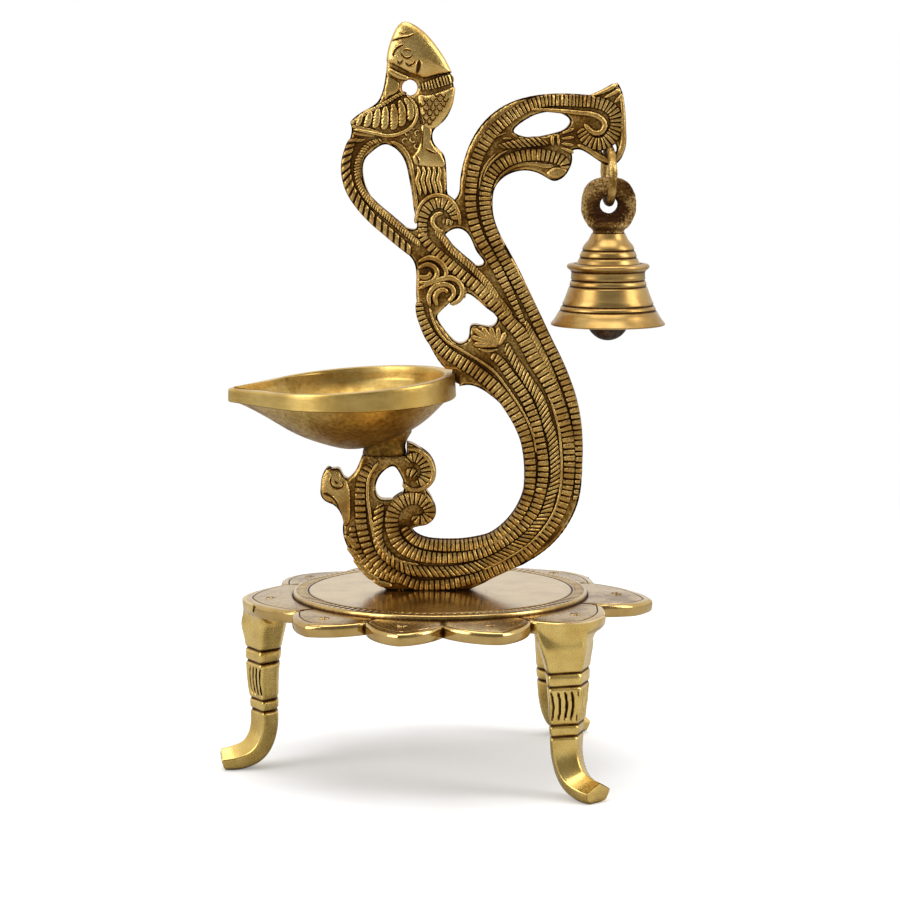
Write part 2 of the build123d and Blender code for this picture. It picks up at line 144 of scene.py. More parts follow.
def piece(
    name: str,
    mesh: bmesh.types.BMesh,
    material: bpy.types.Material,
    body: str,
    replaces: Sequence[str] = (),
    crease: float = 40.0,
) -> bpy.types.Object:
    """Turns a finished bmesh into an object that rides on a body.

    Args:
        name: The piece's name.
        mesh: The bmesh, which is freed.
        material: Its finish.
        body: The CAD body that it moves with.
        replaces: The CAD nodes that it stands for.
        crease: Edges that turn by more degrees than this stay sharp.

    Returns:
        The new object.
    """
    bmesh.ops.recalc_face_normals(mesh, faces=mesh.faces[:])
    for face in mesh.faces:
        face.smooth = True
    data = bpy.data.meshes.new(name)
    mesh.to_mesh(data)
    mesh.free()
    data.set_sharp_from_angle(angle=math.radians(crease))
    data.materials.append(material)
    made = placed(name, data)
    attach(made, body)
    if replaces:
        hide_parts(*replaces)
    log.info("%s: %d faces on %s", name, len(data.polygons), body)
    return made


def through(
    a: np.ndarray, b: np.ndarray, c: np.ndarray, d: np.ndarray, share: float | np.ndarray
) -> np.ndarray:
    """The place at that share of the way from b to c, on a smooth curve through all four."""
    cubic = (3 * b - a - 3 * c + d) * share**3
    return 0.5 * (2 * b + (c - a) * share + (2 * a - 5 * b + 4 * c - d) * share**2 + cubic)


@dataclass
class Route:
    """A smooth line through drawn points, measured along its length."""

    points: np.ndarray
    closed: bool = False
    _at: np.ndarray = field(init=False, repr=False)
    _length: np.ndarray = field(init=False, repr=False)

    def __post_init__(self) -> None:
        """Samples a Catmull-Rom curve through the points."""
        p = self.points
        if self.closed:
            padded = np.vstack([p[-1], p, p[0], p[1]])
        else:
            padded = np.vstack([2 * p[0] - p[1], p, 2 * p[-1] - p[-2]])
        found = []
        for a, b, c, d in zip(padded[:-3], padded[1:-2], padded[2:-1], padded[3:]):
            t = np.linspace(0, 1, 14, endpoint=False)[:, None]
            found.append(through(a, b, c, d, t))
        found.append(padded[-2][None, :])
        self._at = np.vstack(found)
        steps = np.linalg.norm(np.diff(self._at, axis=0), axis=1)
        self._length = np.concatenate([[0.0], np.cumsum(steps)])

    @property
    def length(self) -> float:
        """The line's length."""
        return float(self._length[-1])

    def at(self, stations: np.ndarray) -> np.ndarray:
        """The points at these lengths along the line."""
        return np.stack([np.interp(stations, self._length, self._at[:, k]) for k in (0, 1)], axis=1)

    def tangents(self, stations: np.ndarray, reach: float = 0.5) -> np.ndarray:
        """Unit directions of travel, taken over a short reach so that a tight turn stays smooth."""
        ahead = self.at(np.clip(stations + reach, 0, self.length))
        behind = self.at(np.clip(stations - reach, 0, self.length))
        step = ahead - behind
        return step / np.maximum(np.linalg.norm(step, axis=1), 1e-9)[:, None]


class Chasing(Enum):
    """How a raised line is worked: its section (across, height, patina) and its repeat (phase, height, patina)."""

    RIBBED = (
        ((-1.04, -0.9, 0.4), (-1.02, 0.02, 0.5), (-0.95, 0.45, 0.5), (-0.84, 0.88, 0.15), (-0.5, 1.0, 0)),
        ((0.0, 0.32, 0.85), (0.09, 0.62, 0.7), (0.19, 0.93, 0.15), (0.42, 1.1, 0), (0.74, 0.98, 0.0), (0.9, 0.6, 0.6)),
    )
    FINE = (
        ((-1.04, -0.9, 0.4), (-1.02, 0.02, 0.5), (-0.93, 0.45, 0.5), (-0.76, 0.85, 0.15), (-0.4, 0.97, 0)),
        ((0.0, 0.62, 0.8), (0.25, 0.95, 0.2), (0.5, 1.02, 0), (0.75, 0.95, 0.2)),
    )
    SMOOTH = (
        ((-1.12, -0.9, 0.4), (-1.08, 0.02, 0.55), (-0.92, 0.42, 0.5), (-0.68, 0.82, 0.1), (-0.34, 0.97, 0)),
        (),
    )
    FEATHER = (
        ((-1.04, -0.9, 1), (-1.02, 0.02, 1), (-0.92, 0.4, 0.95), (-0.74, 0.78, 0.35), (-0.4, 0.94, 0)),
        ((0.0, 0.84, 0.4), (0.3, 0.97, 0.05), (0.7, 0.98, 0)),
    )
    NOTCHED = (
        ((-1.02, -0.9, 0.4), (-1.0, 0.02, 0.5), (-0.9, 0.5, 0.35), (-0.72, 0.86, 0.1), (-0.36, 1.0, 0)),
        ((0.0, 0.3, 1), (0.13, 0.3, 1), (0.26, 0.5, 1), (0.34, 0.95, 0.3), (0.5, 1.05, 0), (0.75, 1.05, 0),
         (0.92, 0.95, 0.3)),
    )
    FURROW = (
        ((-1.3, -1.2, 0.1), (-1.05, 0.35, 0.1), (-0.72, 0.95, 0.25), (-0.45, 0.75, 0.9), (-0.2, 0.15, 1)),
        (),
    )

    @property
    def section(self) -> np.ndarray:
        """The whole section, from one side over the top to the other."""
        half = np.array(self.value[0], float)
        top = np.array([[0.0, 0.1 if self is Chasing.FURROW else 1.03, 1.0 if self is Chasing.FURROW else 0.0]])
        other = half[::-1] * np.array([-1, 1, 1])
        return np.vstack([half, top, other])


@dataclass
class ReliefBand:
    """A raised line on the face of the casting or on top of the plate."""

    route: Route
    widths: Sequence[float]
    chasing: Chasing = Chasing.RIBBED
    pitches: Sequence[float] = (1.4,)
    height: float = 0.85
    lean: float = 0.0
    punched: float = 1.0

    def stations(self, chance: random.Random) -> tuple[np.ndarray, np.ndarray, np.ndarray]:
        """Where the rings stand along the line.

        Args:
            chance: The seeded source of hand-made unevenness.

        Returns:
            The lengths along the line, and the share of the height and the patina at each.
        """
        length = self.route.length
        repeat = self.chasing.value[1]
        if not repeat:
            step = 0.45 if length < 12 else 0.6
            along = np.linspace(0, length, max(5, int(length / step)))
            return along, np.ones(len(along)), np.zeros(len(along))
        rows, s = [], 0.0
        shares = np.linspace(0, 1, len(self.pitches))
        while s < length:
            pitch = float(np.interp(s / length, shares, self.pitches)) * chance.uniform(0.84, 1.16)
            depth, tall = chance.uniform(0.6, 1.0), chance.uniform(0.88, 1.08)
            for phase, high, dark in repeat:
                if s + phase * pitch < length:
                    rows.append((s + phase * pitch, tall * (1 - (1 - high) * depth), dark * depth))
            s += pitch
        rows.append((length, 0.6, 0.5))
        found = np.array(rows)
        return found[:, 0], found[:, 1], found[:, 2]

    def rings(self, chance: random.Random, ground: "Ground | None") -> np.ndarray:
        """The band's rings, flat in its own plane: across, along, height and patina."""
        along, tall, dark = self.stations(chance)
        centre, way = self.route.at(along), self.route.tangents(along)
        right = np.stack([way[:, 1], -way[:, 0]], axis=1)
        section = self.chasing.section
        half = np.interp(along / self.route.length, np.linspace(0, 1, len(self.widths)), self.widths) / 2
        # Both ends are rounded, in plan and in height.
        near = np.clip(np.minimum(along, self.route.length - along) / np.maximum(half, 1e-6), 0.02, 1)
        rounded = np.sqrt(1 - (1 - near) ** 2)
        half = half * rounded
        tall = tall * (0.35 + 0.65 * rounded)
        across = section[:, 0]
        u = across[None, :] * half[:, None]
        flat = centre[:, None, :] + right[:, None, :] * u[:, :, None] + way[:, None, :] * (self.lean * u)[:, :, None]
        ring_dark = np.repeat(dark[:, None], len(across), 1)
        low = np.repeat(tall[:, None], len(across), 1)
        if self.punched and self.chasing.value[1]:
            # A punch widens each cut at one side of the band.
            struck = np.clip((across * self.punched - 0.35) * 2.4, 0, 1)[None, :] * (dark[:, None] > 0.3)
            ring_dark = np.maximum(ring_dark, struck)
            low = low - 0.3 * struck * (dark[:, None] < 0.95)
        high = section[None, :, 1] * np.where(section[None, :, 1] > 0.1, low, 1.0) * self.height
        base = np.zeros(len(along)) if ground is None else ground.heights(centre)
        patina = np.clip(np.maximum(section[None, :, 2], ring_dark), 0, 1)
        return np.dstack([flat, high + base[:, None], patina])

    def add_to_face(self, mesh: bmesh.types.BMesh, chance: random.Random, ground: "Ground | None" = None) -> None:
        """Adds the band to the casting's front face."""
        r = self.rings(chance, ground)
        base = 0.0 if ground is not None else FACE_Y
        lofted(mesh, np.dstack([r[:, :, 0], -(base + r[:, :, 2]), r[:, :, 1], r[:, :, 3]]))

    def add_to_top(self, mesh: bmesh.types.BMesh, chance: random.Random, level: float) -> None:
        """Adds the band to a level surface at that height."""
        r = self.rings(chance, None)
        lofted(mesh, np.dstack([r[:, :, 0], r[:, :, 1], level + r[:, :, 2], r[:, :, 3]]))


def drawn(
    line: str,
    widths: Sequence[float],
    chasing: Chasing = Chasing.RIBBED,
    pitches: Sequence[float] = (1.4,),
    height: float = 0.85,
    lean: float = 0.0,
    punched: float = 1.0,
) -> ReliefBand:
    """A worked band along a drawn line.

    Args:
        line: The line's points, as trace reads them.
        widths: Widths at even places along it.
        chasing: How it is worked.
        pitches: The repeat's length at even places along it.
        height: How high it stands.
        lean: How far each cut leans along the band.
        punched: Which side of the cuts is struck wider, or 0 for neither.

    Returns:
        The band.
    """
    return ReliefBand(Route(trace(line)), widths, chasing, pitches, height, lean, punched)


def smooth(line: str, widths: Sequence[float], height: float, chasing: Chasing = Chasing.SMOOTH) -> ReliefBand:
    """A plain raised line, or a furrow, along a drawn line."""
    return ReliefBand(Route(trace(line)), widths, chasing, height=height)


class Ground:
    """The front surface of what is built so far, for lines that lie on a rounded part."""

    def __init__(self, mesh: bmesh.types.BMesh) -> None:
        """Keeps a search tree of the mesh as it is now."""
        mesh.normal_update()
        self._tree = BVHTree.FromBMesh(mesh)

    def heights(self, points: np.ndarray) -> np.ndarray:
        """How far the surface stands from the middle plane, in millimetres, at points of that plane."""
        found = []
        for x, z in points:
            hit = self._tree.ray_cast(Vector((x * MM, -0.03, z * MM)), Vector((0, 1, 0)), 0.03)
            found.append(FACE_Y if hit[0] is None else max(FACE_Y, -hit[0].y / MM))
        return np.array(found)


@dataclass
class Cushion:
    """A plain raised part, domed over its outline."""

    outline: np.ndarray
    rise: float = 0.6
    fullness: float = 4.0
    samples: int = 72
    rim_dark: float = 1.0
    skirt: float = 1.9
    sizes: Sequence[float] = (1.02, 1.01, 0.985, 0.96, 0.93, 0.89, 0.84, 0.78, 0.7, 0.6, 0.48, 0.34, 0.18, 0.0)

    def add_to_face(self, mesh: bmesh.types.BMesh) -> None:
        """Adds the part to the casting's front face, as rings drawn in from the outline to its middle."""
        route = Route(self.outline, closed=True)
        around = route.at(np.linspace(0, route.length, self.samples, endpoint=False))
        middle = around.mean(axis=0)
        rows = []
        for size in self.sizes:
            flat = middle + (around - middle) * size
            high = -self.skirt if size > 1.015 else self.rise * math.sqrt(1 - min(1.0, size) ** self.fullness)
            dark = self.rim_dark * (1.0 if size > 1 else 0.6 if size > 0.98 else 0.1 if size > 0.95 else 0.0)
            level, shade = (np.full(self.samples, value) for value in (-(FACE_Y + high), dark))
            rows.append(np.stack([flat[:, 0], level, flat[:, 1], shade], 1))
        lofted(mesh, np.stack(rows), poles=(False, True))


# ---------------------------------------------------------------------------------------------------------
# Finishes
# ---------------------------------------------------------------------------------------------------------


class Grain(Enum):
    """What the tools left on the metal."""

    CAST = "cast"
    FILED = "filed"
    TURNED = "turned"
    POLISHED = "polished"

    @property
    def squeeze(self) -> tuple[float, float, float]:
        """How the marks are scaled along each axis, so that they run the way the tool did."""
        across = {Grain.FILED: 0.16, Grain.TURNED: 0.03}.get(self, 1.0)
        return across, across, 1.0

    @property
    def scale(self) -> float:
        """How fine the marks are."""
        return 2600.0 if self is Grain.TURNED else 1900.0


@dataclass(frozen=True)
class BrassFinish:
    """Brass with bright high places, a dark patina where it was put on, and painted shade where it lies sheltered,
    which stands also for the patina that gathers there.
    """

    name: str
    bright: Colour = (0.72, 0.50, 0.17)
    warm: Colour = (0.50, 0.31, 0.085)
    patina: Colour = (0.044, 0.014, 0.002)
    rough: Pair = (0.20, 0.36)
    # Painted shade: how strongly the ambient occlusion darkens the colour in crevices, standing also for the patina
    # there; reach is its distance in millimetres.
    crevice_patina_and_shade: float = 1.0
    reach: float = 1.6
    cloud: float = 0.35
    tarnish: float = 0.0
    grain: Grain = Grain.CAST
    grain_depth: float = 0.02
    speck: Pair = (900.0, 1.1)
    well: tuple[float, float, float] | None = None

    def make(self) -> bpy.types.Material:
        """Builds the node material.

        Returns:
            The material, which reads object coordinates and the patina attribute.
        """
        material = bpy.data.materials.new(self.name)
        material.use_nodes = True
        tree = material.node_tree
        tree.nodes.clear()

        def node(kind: str, **settings: object) -> bpy.types.Node:
            """Adds a node with these settings."""
            made = tree.nodes.new(kind)
            for key, value in settings.items():
                setattr(made, key, value)
            return made

        def plug(target: bpy.types.NodeSocket, value: object) -> None:
            """Links a socket, or sets its value."""
            if isinstance(value, bpy.types.NodeSocket):
                tree.links.new(value, target)
            else:
                target.default_value = value

        def maths(operation: str, a: object, b: object = 0.0, c: object = 0.0) -> bpy.types.NodeSocket:
            """The result of an unclamped Math node."""
            made = node("ShaderNodeMath", operation=operation)
            for socket, value in zip(made.inputs, (a, b, c)):
                plug(socket, value)
            return made.outputs[0]

        def spread(
            value: object, low: float, high: float, to_low: float = 0.0, to_high: float = 1.0
        ) -> bpy.types.NodeSocket:
            """Maps a range smoothly to another."""
            made = node("ShaderNodeMapRange", interpolation_type="SMOOTHSTEP")
            names = ("Value", "From Min", "From Max", "To Min", "To Max")
            for key, given in zip(names, (value, low, high, to_low, to_high)):
                plug(made.inputs[key], given)
            return made.outputs["Result"]

        def noise(vector: object, scale: float, detail: float = 3.0, rough: float = 0.55) -> bpy.types.NodeSocket:
            """A grey noise."""
            made = node("ShaderNodeTexNoise")
            for key, given in zip(("Vector", "Scale", "Detail", "Roughness"), (vector, scale, detail, rough)):
                plug(made.inputs[key], given)
            return made.outputs["Fac"]

        def blend(share: object, a: object, b: object) -> bpy.types.NodeSocket:
            """Mixes two colours."""
            made = node("ShaderNodeMix", data_type="RGBA")
            for index, given in zip((0, 6, 7), (share, a, b)):
                plug(made.inputs[index], given)
            return made.outputs[2]

        place = node("ShaderNodeTexCoord").outputs["Object"]
        stretch = node("ShaderNodeMapping")
        plug(stretch.inputs["Vector"], place)
        plug(stretch.inputs["Scale"], self.grain.squeeze)
        clouds = noise(place, CLOUD_SCALE, 4.0)
        specks = noise(place, self.speck[0], 3.0, 0.6)
        marks = noise(stretch.outputs["Vector"], self.grain.scale, 2.0, 0.5)

        put_on = node("ShaderNodeAttribute", attribute_name=PATINA, attribute_type="GEOMETRY").outputs["Fac"]
        # Painted shade: the ambient occlusion node darkens the colour where the surface is sheltered, in crevices and
        # between parts, and stands also for the patina that gathers there.
        painted_shade_ao = node("ShaderNodeAmbientOcclusion", samples=6, only_local=False)
        plug(painted_shade_ao.inputs["Distance"], self.reach * MM)
        ao_patina_and_shade = spread(painted_shade_ao.outputs["AO"], 0.24, 0.82, 1.0, 0.0)
        uneven = maths("MULTIPLY_ADD", maths("SUBTRACT", specks, 0.5), self.speck[1], 1.0)
        dark = maths("MULTIPLY", ao_patina_and_shade, self.crevice_patina_and_shade)
        dark = maths("ADD", maths("MULTIPLY", put_on, 1.05), dark)
        # Darker within a few millimetres of the well point.
        if self.well is not None:
            depth = node("ShaderNodeVectorMath", operation="DISTANCE")
            plug(depth.inputs[0], place)
            plug(depth.inputs[1], self.well)
            dark = maths("ADD", dark, spread(depth.outputs["Value"], 0.0026, 0.0068, 0.85, 0.0))
        dark = maths("MULTIPLY", maths("ADD", dark, self.tarnish), uneven)
        dark = maths("ADD", dark, maths("MULTIPLY", spread(clouds, 0.45, 0.75), self.cloud))
        # All the darkening as one share: put-on patina, painted crevice shade, the well, tarnish and clouds.
        patina_and_painted_shade = spread(dark, 0.06, 1.12)

        metal = blend(spread(clouds, 0.35, 0.7), (*self.bright, 1), (*self.warm, 1))
        freckles = maths("MULTIPLY", spread(specks, 0.5, 0.8), min(0.4, 0.32 * self.speck[1]))
        metal = blend(freckles, metal, (*self.warm, 1))
        red, green, blue = self.warm
        brown = blend(spread(patina_and_painted_shade, 0.0, 0.55), metal, (red * 0.42, green * 0.34, blue * 0.2, 1))
        colour = blend(spread(patina_and_painted_shade, 0.4, 1.0), brown, (*self.patina, 1))

        shader = node("ShaderNodeBsdfPrincipled")
        plug(shader.inputs["Base Color"], colour)
        plug(shader.inputs["Metallic"], spread(patina_and_painted_shade, 0.35, 1.0, 1.0, 0.85))
        worn = maths("MULTIPLY_ADD", spread(marks, 0.3, 0.75), self.rough[1] - self.rough[0], self.rough[0])
        plug(shader.inputs["Roughness"], maths("MULTIPLY_ADD", patina_and_painted_shade, 0.32, worn))
        bump = node("ShaderNodeBump")
        plug(bump.inputs["Strength"], 1.0)
        plug(bump.inputs["Distance"], self.grain_depth * MM)
        relief = maths("ADD", maths("MULTIPLY", specks, 0.9), maths("MULTIPLY", marks, 0.55))
        plug(bump.inputs["Height"], relief)
        plug(shader.inputs["Normal"], bump.outputs["Normal"])
        output = node("ShaderNodeOutputMaterial")
        tree.links.new(shader.outputs["BSDF"], output.inputs["Surface"])
        return material


@dataclass(frozen=True)
class Finishes:
    """Every finish of the lamp, one material each."""

    casting: BrassFinish = BrassFinish(
        "chased_casting", bright=(0.61, 0.40, 0.13), warm=(0.42, 0.235, 0.057), rough=(0.24, 0.42), cloud=0.4,
        grain_depth=0.2, speck=(1500.0, 1.8),
    )
    bird: BrassFinish = BrassFinish(
        "rubbed_bird", bright=(0.72, 0.50, 0.175), warm=(0.54, 0.33, 0.09), rough=(0.24, 0.38), cloud=0.26,
        crevice_patina_and_shade=0.95, grain_depth=0.1, speck=(1500.0, 1.4),
    )
    disc: BrassFinish = BrassFinish(
        "polished_plate", bright=(0.57, 0.395, 0.15), warm=(0.46, 0.29, 0.092), rough=(0.13, 0.24), crevice_patina_and_shade=0.4,
        cloud=0.2, grain=Grain.POLISHED, grain_depth=0.012,
    )
    leg: BrassFinish = BrassFinish(
        "filed_leg", bright=(0.80, 0.58, 0.19), warm=(0.62, 0.41, 0.11), rough=(0.26, 0.29), crevice_patina_and_shade=0.5, cloud=0.12,
        grain=Grain.POLISHED, grain_depth=0.001, speck=(600.0, 0.2),
    )
    bowl: BrassFinish = BrassFinish(
        "satin_bowl", bright=(0.62, 0.43, 0.135), warm=(0.50, 0.32, 0.082), rough=(0.3, 0.42), crevice_patina_and_shade=0.25, cloud=0.16,
        reach=3.0, grain=Grain.FILED, grain_depth=0.03,
    )
    turned: BrassFinish = BrassFinish(
        "turned_bell", bright=(0.46, 0.30, 0.102), warm=(0.34, 0.197, 0.057), rough=(0.28, 0.4), crevice_patina_and_shade=0.5,
        cloud=0.26, grain=Grain.TURNED, grain_depth=0.012,
    )
    rough_cast: BrassFinish = BrassFinish(
        "rough_cast", bright=(0.52, 0.34, 0.13), warm=(0.26, 0.15, 0.05), rough=(0.3, 0.5), cloud=0.45, tarnish=0.36,
        reach=3.0, grain_depth=0.34, speck=(2000.0, 4.5), well=(0.0469, 0.0, 0.1575),
    )
    ring: BrassFinish = BrassFinish(
        "hand_bent_ring", bright=(0.62, 0.43, 0.15), warm=(0.42, 0.26, 0.075), rough=(0.24, 0.4), cloud=0.6,
        tarnish=0.08, grain_depth=0.16, speck=(1900.0, 2.0),
    )
    blackened: BrassFinish = BrassFinish(
        "blackened_ball", bright=(0.16, 0.11, 0.08), warm=(0.07, 0.045, 0.03), rough=(0.3, 0.5), cloud=0.5, tarnish=0.2,
        grain_depth=0.05,
    )
    hardware: BrassFinish = BrassFinish("plain_hardware", rough=(0.22, 0.36), cloud=0.25, grain_depth=0.02)


# ---------------------------------------------------------------------------------------------------------
# The bird scroll
# ---------------------------------------------------------------------------------------------------------


@dataclass
class BirdScroll:
    """The openwork casting: its body, and the relief chased on both faces."""

    finishes: Finishes
    seed: int = 7
    cap_y: float = 1.3
    ground_dark: float = 0.42
    edge: Sequence[Pair] = ((0.12, 0.34), (0.2, 0.28), (0.28, 0.18), (0.3, 0.1))

    def __post_init__(self) -> None:
        """Starts the seeded chance, and makes the two materials."""
        self.chance = random.Random(self.seed)
        self.metal = self.finishes.casting.make()
        self.bird_metal = self.finishes.bird.make()

    def body(self, node: bpy.types.Object) -> bpy.types.Object:
        """The casting itself: the CAD node's shape with rounded edges, thinner so that the relief stands on it.

        Args:
            node: The CAD node of the scroll.

        Returns:
            The piece.
        """
        mesh = new_mesh()
        mesh.from_mesh(node.data)
        bmesh.ops.remove_doubles(mesh, verts=mesh.verts[:], dist=2e-6)
        half = max(v.co.y for v in mesh.verts)
        for v in mesh.verts:
            if abs(abs(v.co.y) - half) < 1e-5:
                v.co.y = math.copysign(self.cap_y * MM, v.co.y)
        mesh.normal_update()
        for way in (-1, 1):
            cap = [f for f in mesh.faces if f.normal.y * way > 0.99 and f.calc_center_median().y * way > 0.0012]
            for inwards, up in self.edge:
                bmesh.ops.inset_region(
                    mesh, faces=cap, thickness=inwards * MM, depth=up * MM, use_boundary=True, use_even_offset=False
                )
            for v in {v for f in cap for v in f.verts}:
                v[mesh.verts.layers.float[PATINA]] = self.ground_dark
        return piece("scroll_body", mesh, self.metal, "root", ["peacock_scroll"])

    def relief(self, name: str, bands: Sequence[ReliefBand], cushions: Sequence[Cushion] = (),
               lines: Sequence[ReliefBand] = (), bird: bool = False) -> bpy.types.Object:
        """A group of raised parts, the same on both faces.

        Args:
            name: The piece's name.
            bands: Bands that stand on the flat face.
            cushions: Plain raised parts.
            lines: Lines and bands that lie on the cushions.
            bird: Whether the rubbed finish of the bird is used.

        Returns:
            The piece.
        """
        mesh = new_mesh()
        for cushion in cushions:
            cushion.add_to_face(mesh)
        if lines:
            ground = Ground(mesh)
            for line in lines:
                line.add_to_face(mesh, self.chance, ground)
        for band in bands:
            band.add_to_face(mesh, self.chance)
        mirrored_back(mesh)
        return piece(name, mesh, self.bird_metal if bird else self.metal, "root")

    def arch(self) -> None:
        """The band over the arch and down the stem, with the curls at its end, the crest and the filler leaf."""
        band = drawn(
            "38.6 180.6,40.4 177.9,43 176.5,45.6 176.8,47.6 178.6,48.8 181.2,48.6 184,47 186.3,44.2 187.6,"
            "41 188.1,37 188.3,33 188.4,29 188.2,24.6 187,20.6 184.8,17.4 182.3,14.6 179.6,11.7 175.5,"
            "9.6 170.4,8.7 165,8.5 160,9.3 155,11 150.3,13.2 146.6,15.4 142.8,17.8 138.2,20 133.8,22 129.6,"
            "23.4 126.4",
            (3.3, 4.0, 3.6, 3.3, 3.4, 3.5, 3.5, 3.4, 3.1, 2.8, 1.4),
            pitches=(1.25, 1.1, 1.1, 1.1, 1.3, 1.7, 1.6, 1.4, 1.3),
        )
        spiral = smooth(
            "25 186,30 185.8,35 185.4,38.6 185,41.6 184.7,44.4 183.6,45.6 181.6,44.6 179.7,42.6 179.5,41 180.6,"
            "40 182",
            (0.8, 1.2, 1.5, 1.7, 1.8, 1.5), 0.9,
        )
        beak = smooth(
            "50 190.4,50.5 186,50.7 181,50.6 176.4,49.4 173.2,47.6 171.8,44.6 172.6,41.2 174.8,38 176.2",
            (1.0, 1.3, 1.5, 1.8, 1.9, 1.6, 1.0), 0.6,
        )
        crest = [
            smooth(t, (0.7, 1.2, 1.3), 0.65)
            for t in ("42.6 189.9,45.6 191,48.6 192.6", "45.4 189.2,47.6 190.2,49.6 191.4",
                      "48.2 187.8,49.4 188.9,50.2 190")
        ]
        leaf = [
            drawn("16.4 175.6,21 176.4,25 176.9,29.6 177.3", (1.4, 2.6, 2.8, 2.6), pitches=(1.3,), lean=0.9),
            smooth("31.2 175.9,31 179", (1.3, 1.3), 0.8),
            smooth("32.9 175.9,32.6 179.2", (0.9, 0.9), 0.8),
        ]
        for z in (175.4, 176.6, 177.9, 179.3):
            end = 177.4 + (z - 177.4) * 1.7
            leaf.append(ReliefBand(Route(np.array([[33.6, z], [37.0, end]])), (0.8, 1.2), Chasing.SMOOTH, height=0.6))
        hatching = [
            smooth(t, (0.5, 0.8, 0.5), 0.45)
            for t in ("10.9 164,11.5 168,13.2 171.4,15.4 173.8", "11.9 167,13.6 170.6,16.4 173.4,19 174.8",
                      "12.9 176.4,15.2 178.4,18.4 179.6", "17.2 178,20 177.9")
        ]
        self.relief("scroll_arch_relief", [band, spiral, beak, *crest, *leaf, *hatching])

    def stem(self) -> None:
        """The bands that run side by side down the stem and round its foot."""
        inner = drawn(
            "34.6 169.4,34.4 171.2,32.6 172.4,29.6 173.2,26.2 173.5,22.6 173.1,19 171.9,15.8 169.8,13.6 166.8,"
            "12.5 163.2,12.4 160,13 156,14.3 152,16.2 147.8,18.4 143.6,20.8 139.2,23.2 134.8,25.6 130.2,"
            "27.8 125.6,30 121,32.4 116.2,34.6 111.2,36.6 105.6,38 99.8,38.7 94,38.9 88,38.6 82,37.8 76.5",
            (3.2, 3.6, 3.5, 3.5, 3.4, 3.2, 3.2, 3.2, 3.2, 3.1, 2.6, 2.0, 1.1), pitches=(1.35, 1.4, 1.5, 1.6, 1.6, 1.5),
        )
        rim = smooth(
            "31.4 170.4,29 170.4,26 171,22.6 170.8,19.4 169.6,16.6 167.4,14.8 164.2",
            (1.4, 1.5, 1.2, 1.0, 0.7, 0.5), 0.45,
        )
        middle = drawn(
            "-5.6 152,-3.4 148.8,-0.6 146,2.4 143.4,5.4 140.8,8.6 138.2,11.6 135.6,14.4 132.8,17 130,"
            "19.2 127.2,21.6 124.8,23.4 122.2,25.2 118.8,27 115.4,29.4 111.8,31.4 107.8,33.4 103,34.6 99,"
            "35.7 95,36.2 90,36.2 85,35.7 80,34.3 75,31.9 70.2,28.7 66,25 62.3,20.8 59.2,16 57,10.6 54.8,"
            "5 53.3,0 52.6,-6.2 52.6,-10.5 54.3,-13.7 56,-17.4 58.7,-20.1 62.4,-21.4 66.1,-22.2 69.9,"
            "-22.5 74.7,-22.5 78.9,-22.2 82.1,-20.9 84.8,-19.5 86.9",
            (2.6, 3.2, 3.6, 4.2, 4.4, 4.1, 3.5, 3.3, 3.3, 3.2, 3.2, 3.2, 3.5, 3.4, 2.6),
            pitches=(1.5, 1.6, 1.7, 1.7, 1.5, 1.4, 1.7, 1.7),
        )
        dotted = drawn(
            "-1.5 152.6,1 150,3 147.4,5.6 145,8.4 142.6,11 140,13.6 137,16 133.6,18.4 130.6,20 128.4",
            (2.0, 2.1, 2.2, 2.2, 2.0), Chasing.FINE, (0.9,), height=0.7, lean=0.5,
        )
        filler = drawn(
            "23.6 127.2,25.6 123.6,27.6 119.8,29.8 115.8,31.6 112,33.3 108,34.6 104.6",
            (1.4, 2.3, 2.4, 2.0, 1.6, 1.0, 0.6), Chasing.FINE, (1.0,), height=0.65, lean=0.6,
        )
        mesh_bands = [inner, rim, middle, dotted, filler]
        knob = Cushion(trace("29.4 168.2,31 169.8,33.4 170,35.2 169.2,34.4 167.8,32.6 166.9,31 167"), 0.8, samples=32)
        self.relief("scroll_stem_relief", mesh_bands, [knob])

    def foot(self) -> None:
        """The inner bands of the stem, which fill its round foot and curl up at the left."""
        edge = drawn(
            "-5.8 132.6,-5.4 129.4,-4.2 126.2,-2.6 123,-0.2 120.2,2.6 117.8,5.8 115.8,9 113.8,12.2 111.4,"
            "15.4 108.6,18.2 105.4,20.6 101.8,22.6 98.2,24.3 93.6,25.2 88.5,25.4 83.2,24.9 78.9,23.6 75.2,"
            "21.4 71.5,18.2 68,14.5 65.5,10.2 64.3,5.5 63.7,0 63.7,-4.1 64.2,-7.2 65.5,-9.2 67.4,-10.5 69.3",
            (2.2, 3.4, 3.8, 3.8, 3.7, 3.3, 3.1, 3.1, 3.1, 3.0, 2.8), pitches=(1.4, 1.5, 1.6, 1.7, 1.5, 1.3, 1.3),
        )
        beside = smooth(
            "-3 131,-1.8 127,-0.2 123.9,2.2 121.3,5.8 119.2,9 117.3,12.2 115.3,15.4 112.8,18.2 109.3,"
            "20.2 106.4,22.2 103.4,24.2 99.8,26 95.4,27 90",
            (0.9, 1.0, 1.0, 0.9, 0.7), 0.75,
        )
        second = drawn(
            "14.2 117.8,16.6 116.2,18.6 113.4,20.6 110.6,22.6 107.8,24.4 104.6,25.8 101.4,27 97.8,28.5 90.7,"
            "29 86.4,28.7 82.1,27.9 77.9,26.3 73.6,23.7 69.9,20.5 66.9,16.2 64,11.9 61.9,6.6 60.6,0 60.3,"
            "-5.6 61,-9.4 62.6,-12.1 65,-13.4 68.3,-13.7 71.5,-12.9 74.3,-11 76.3,-8.3 77.3,-5.4 76.9,-3.4 75,"
            "-3 72.8,-4.6 71.2,-6.6 71.2,-7.4 72.4",
            (2.4, 3.2, 3.3, 3.3, 3.3, 3.2, 3.2, 3.3, 3.9, 4.1, 3.7, 3.0), pitches=(1.5, 1.6, 1.5, 1.4, 1.3, 1.3),
        )
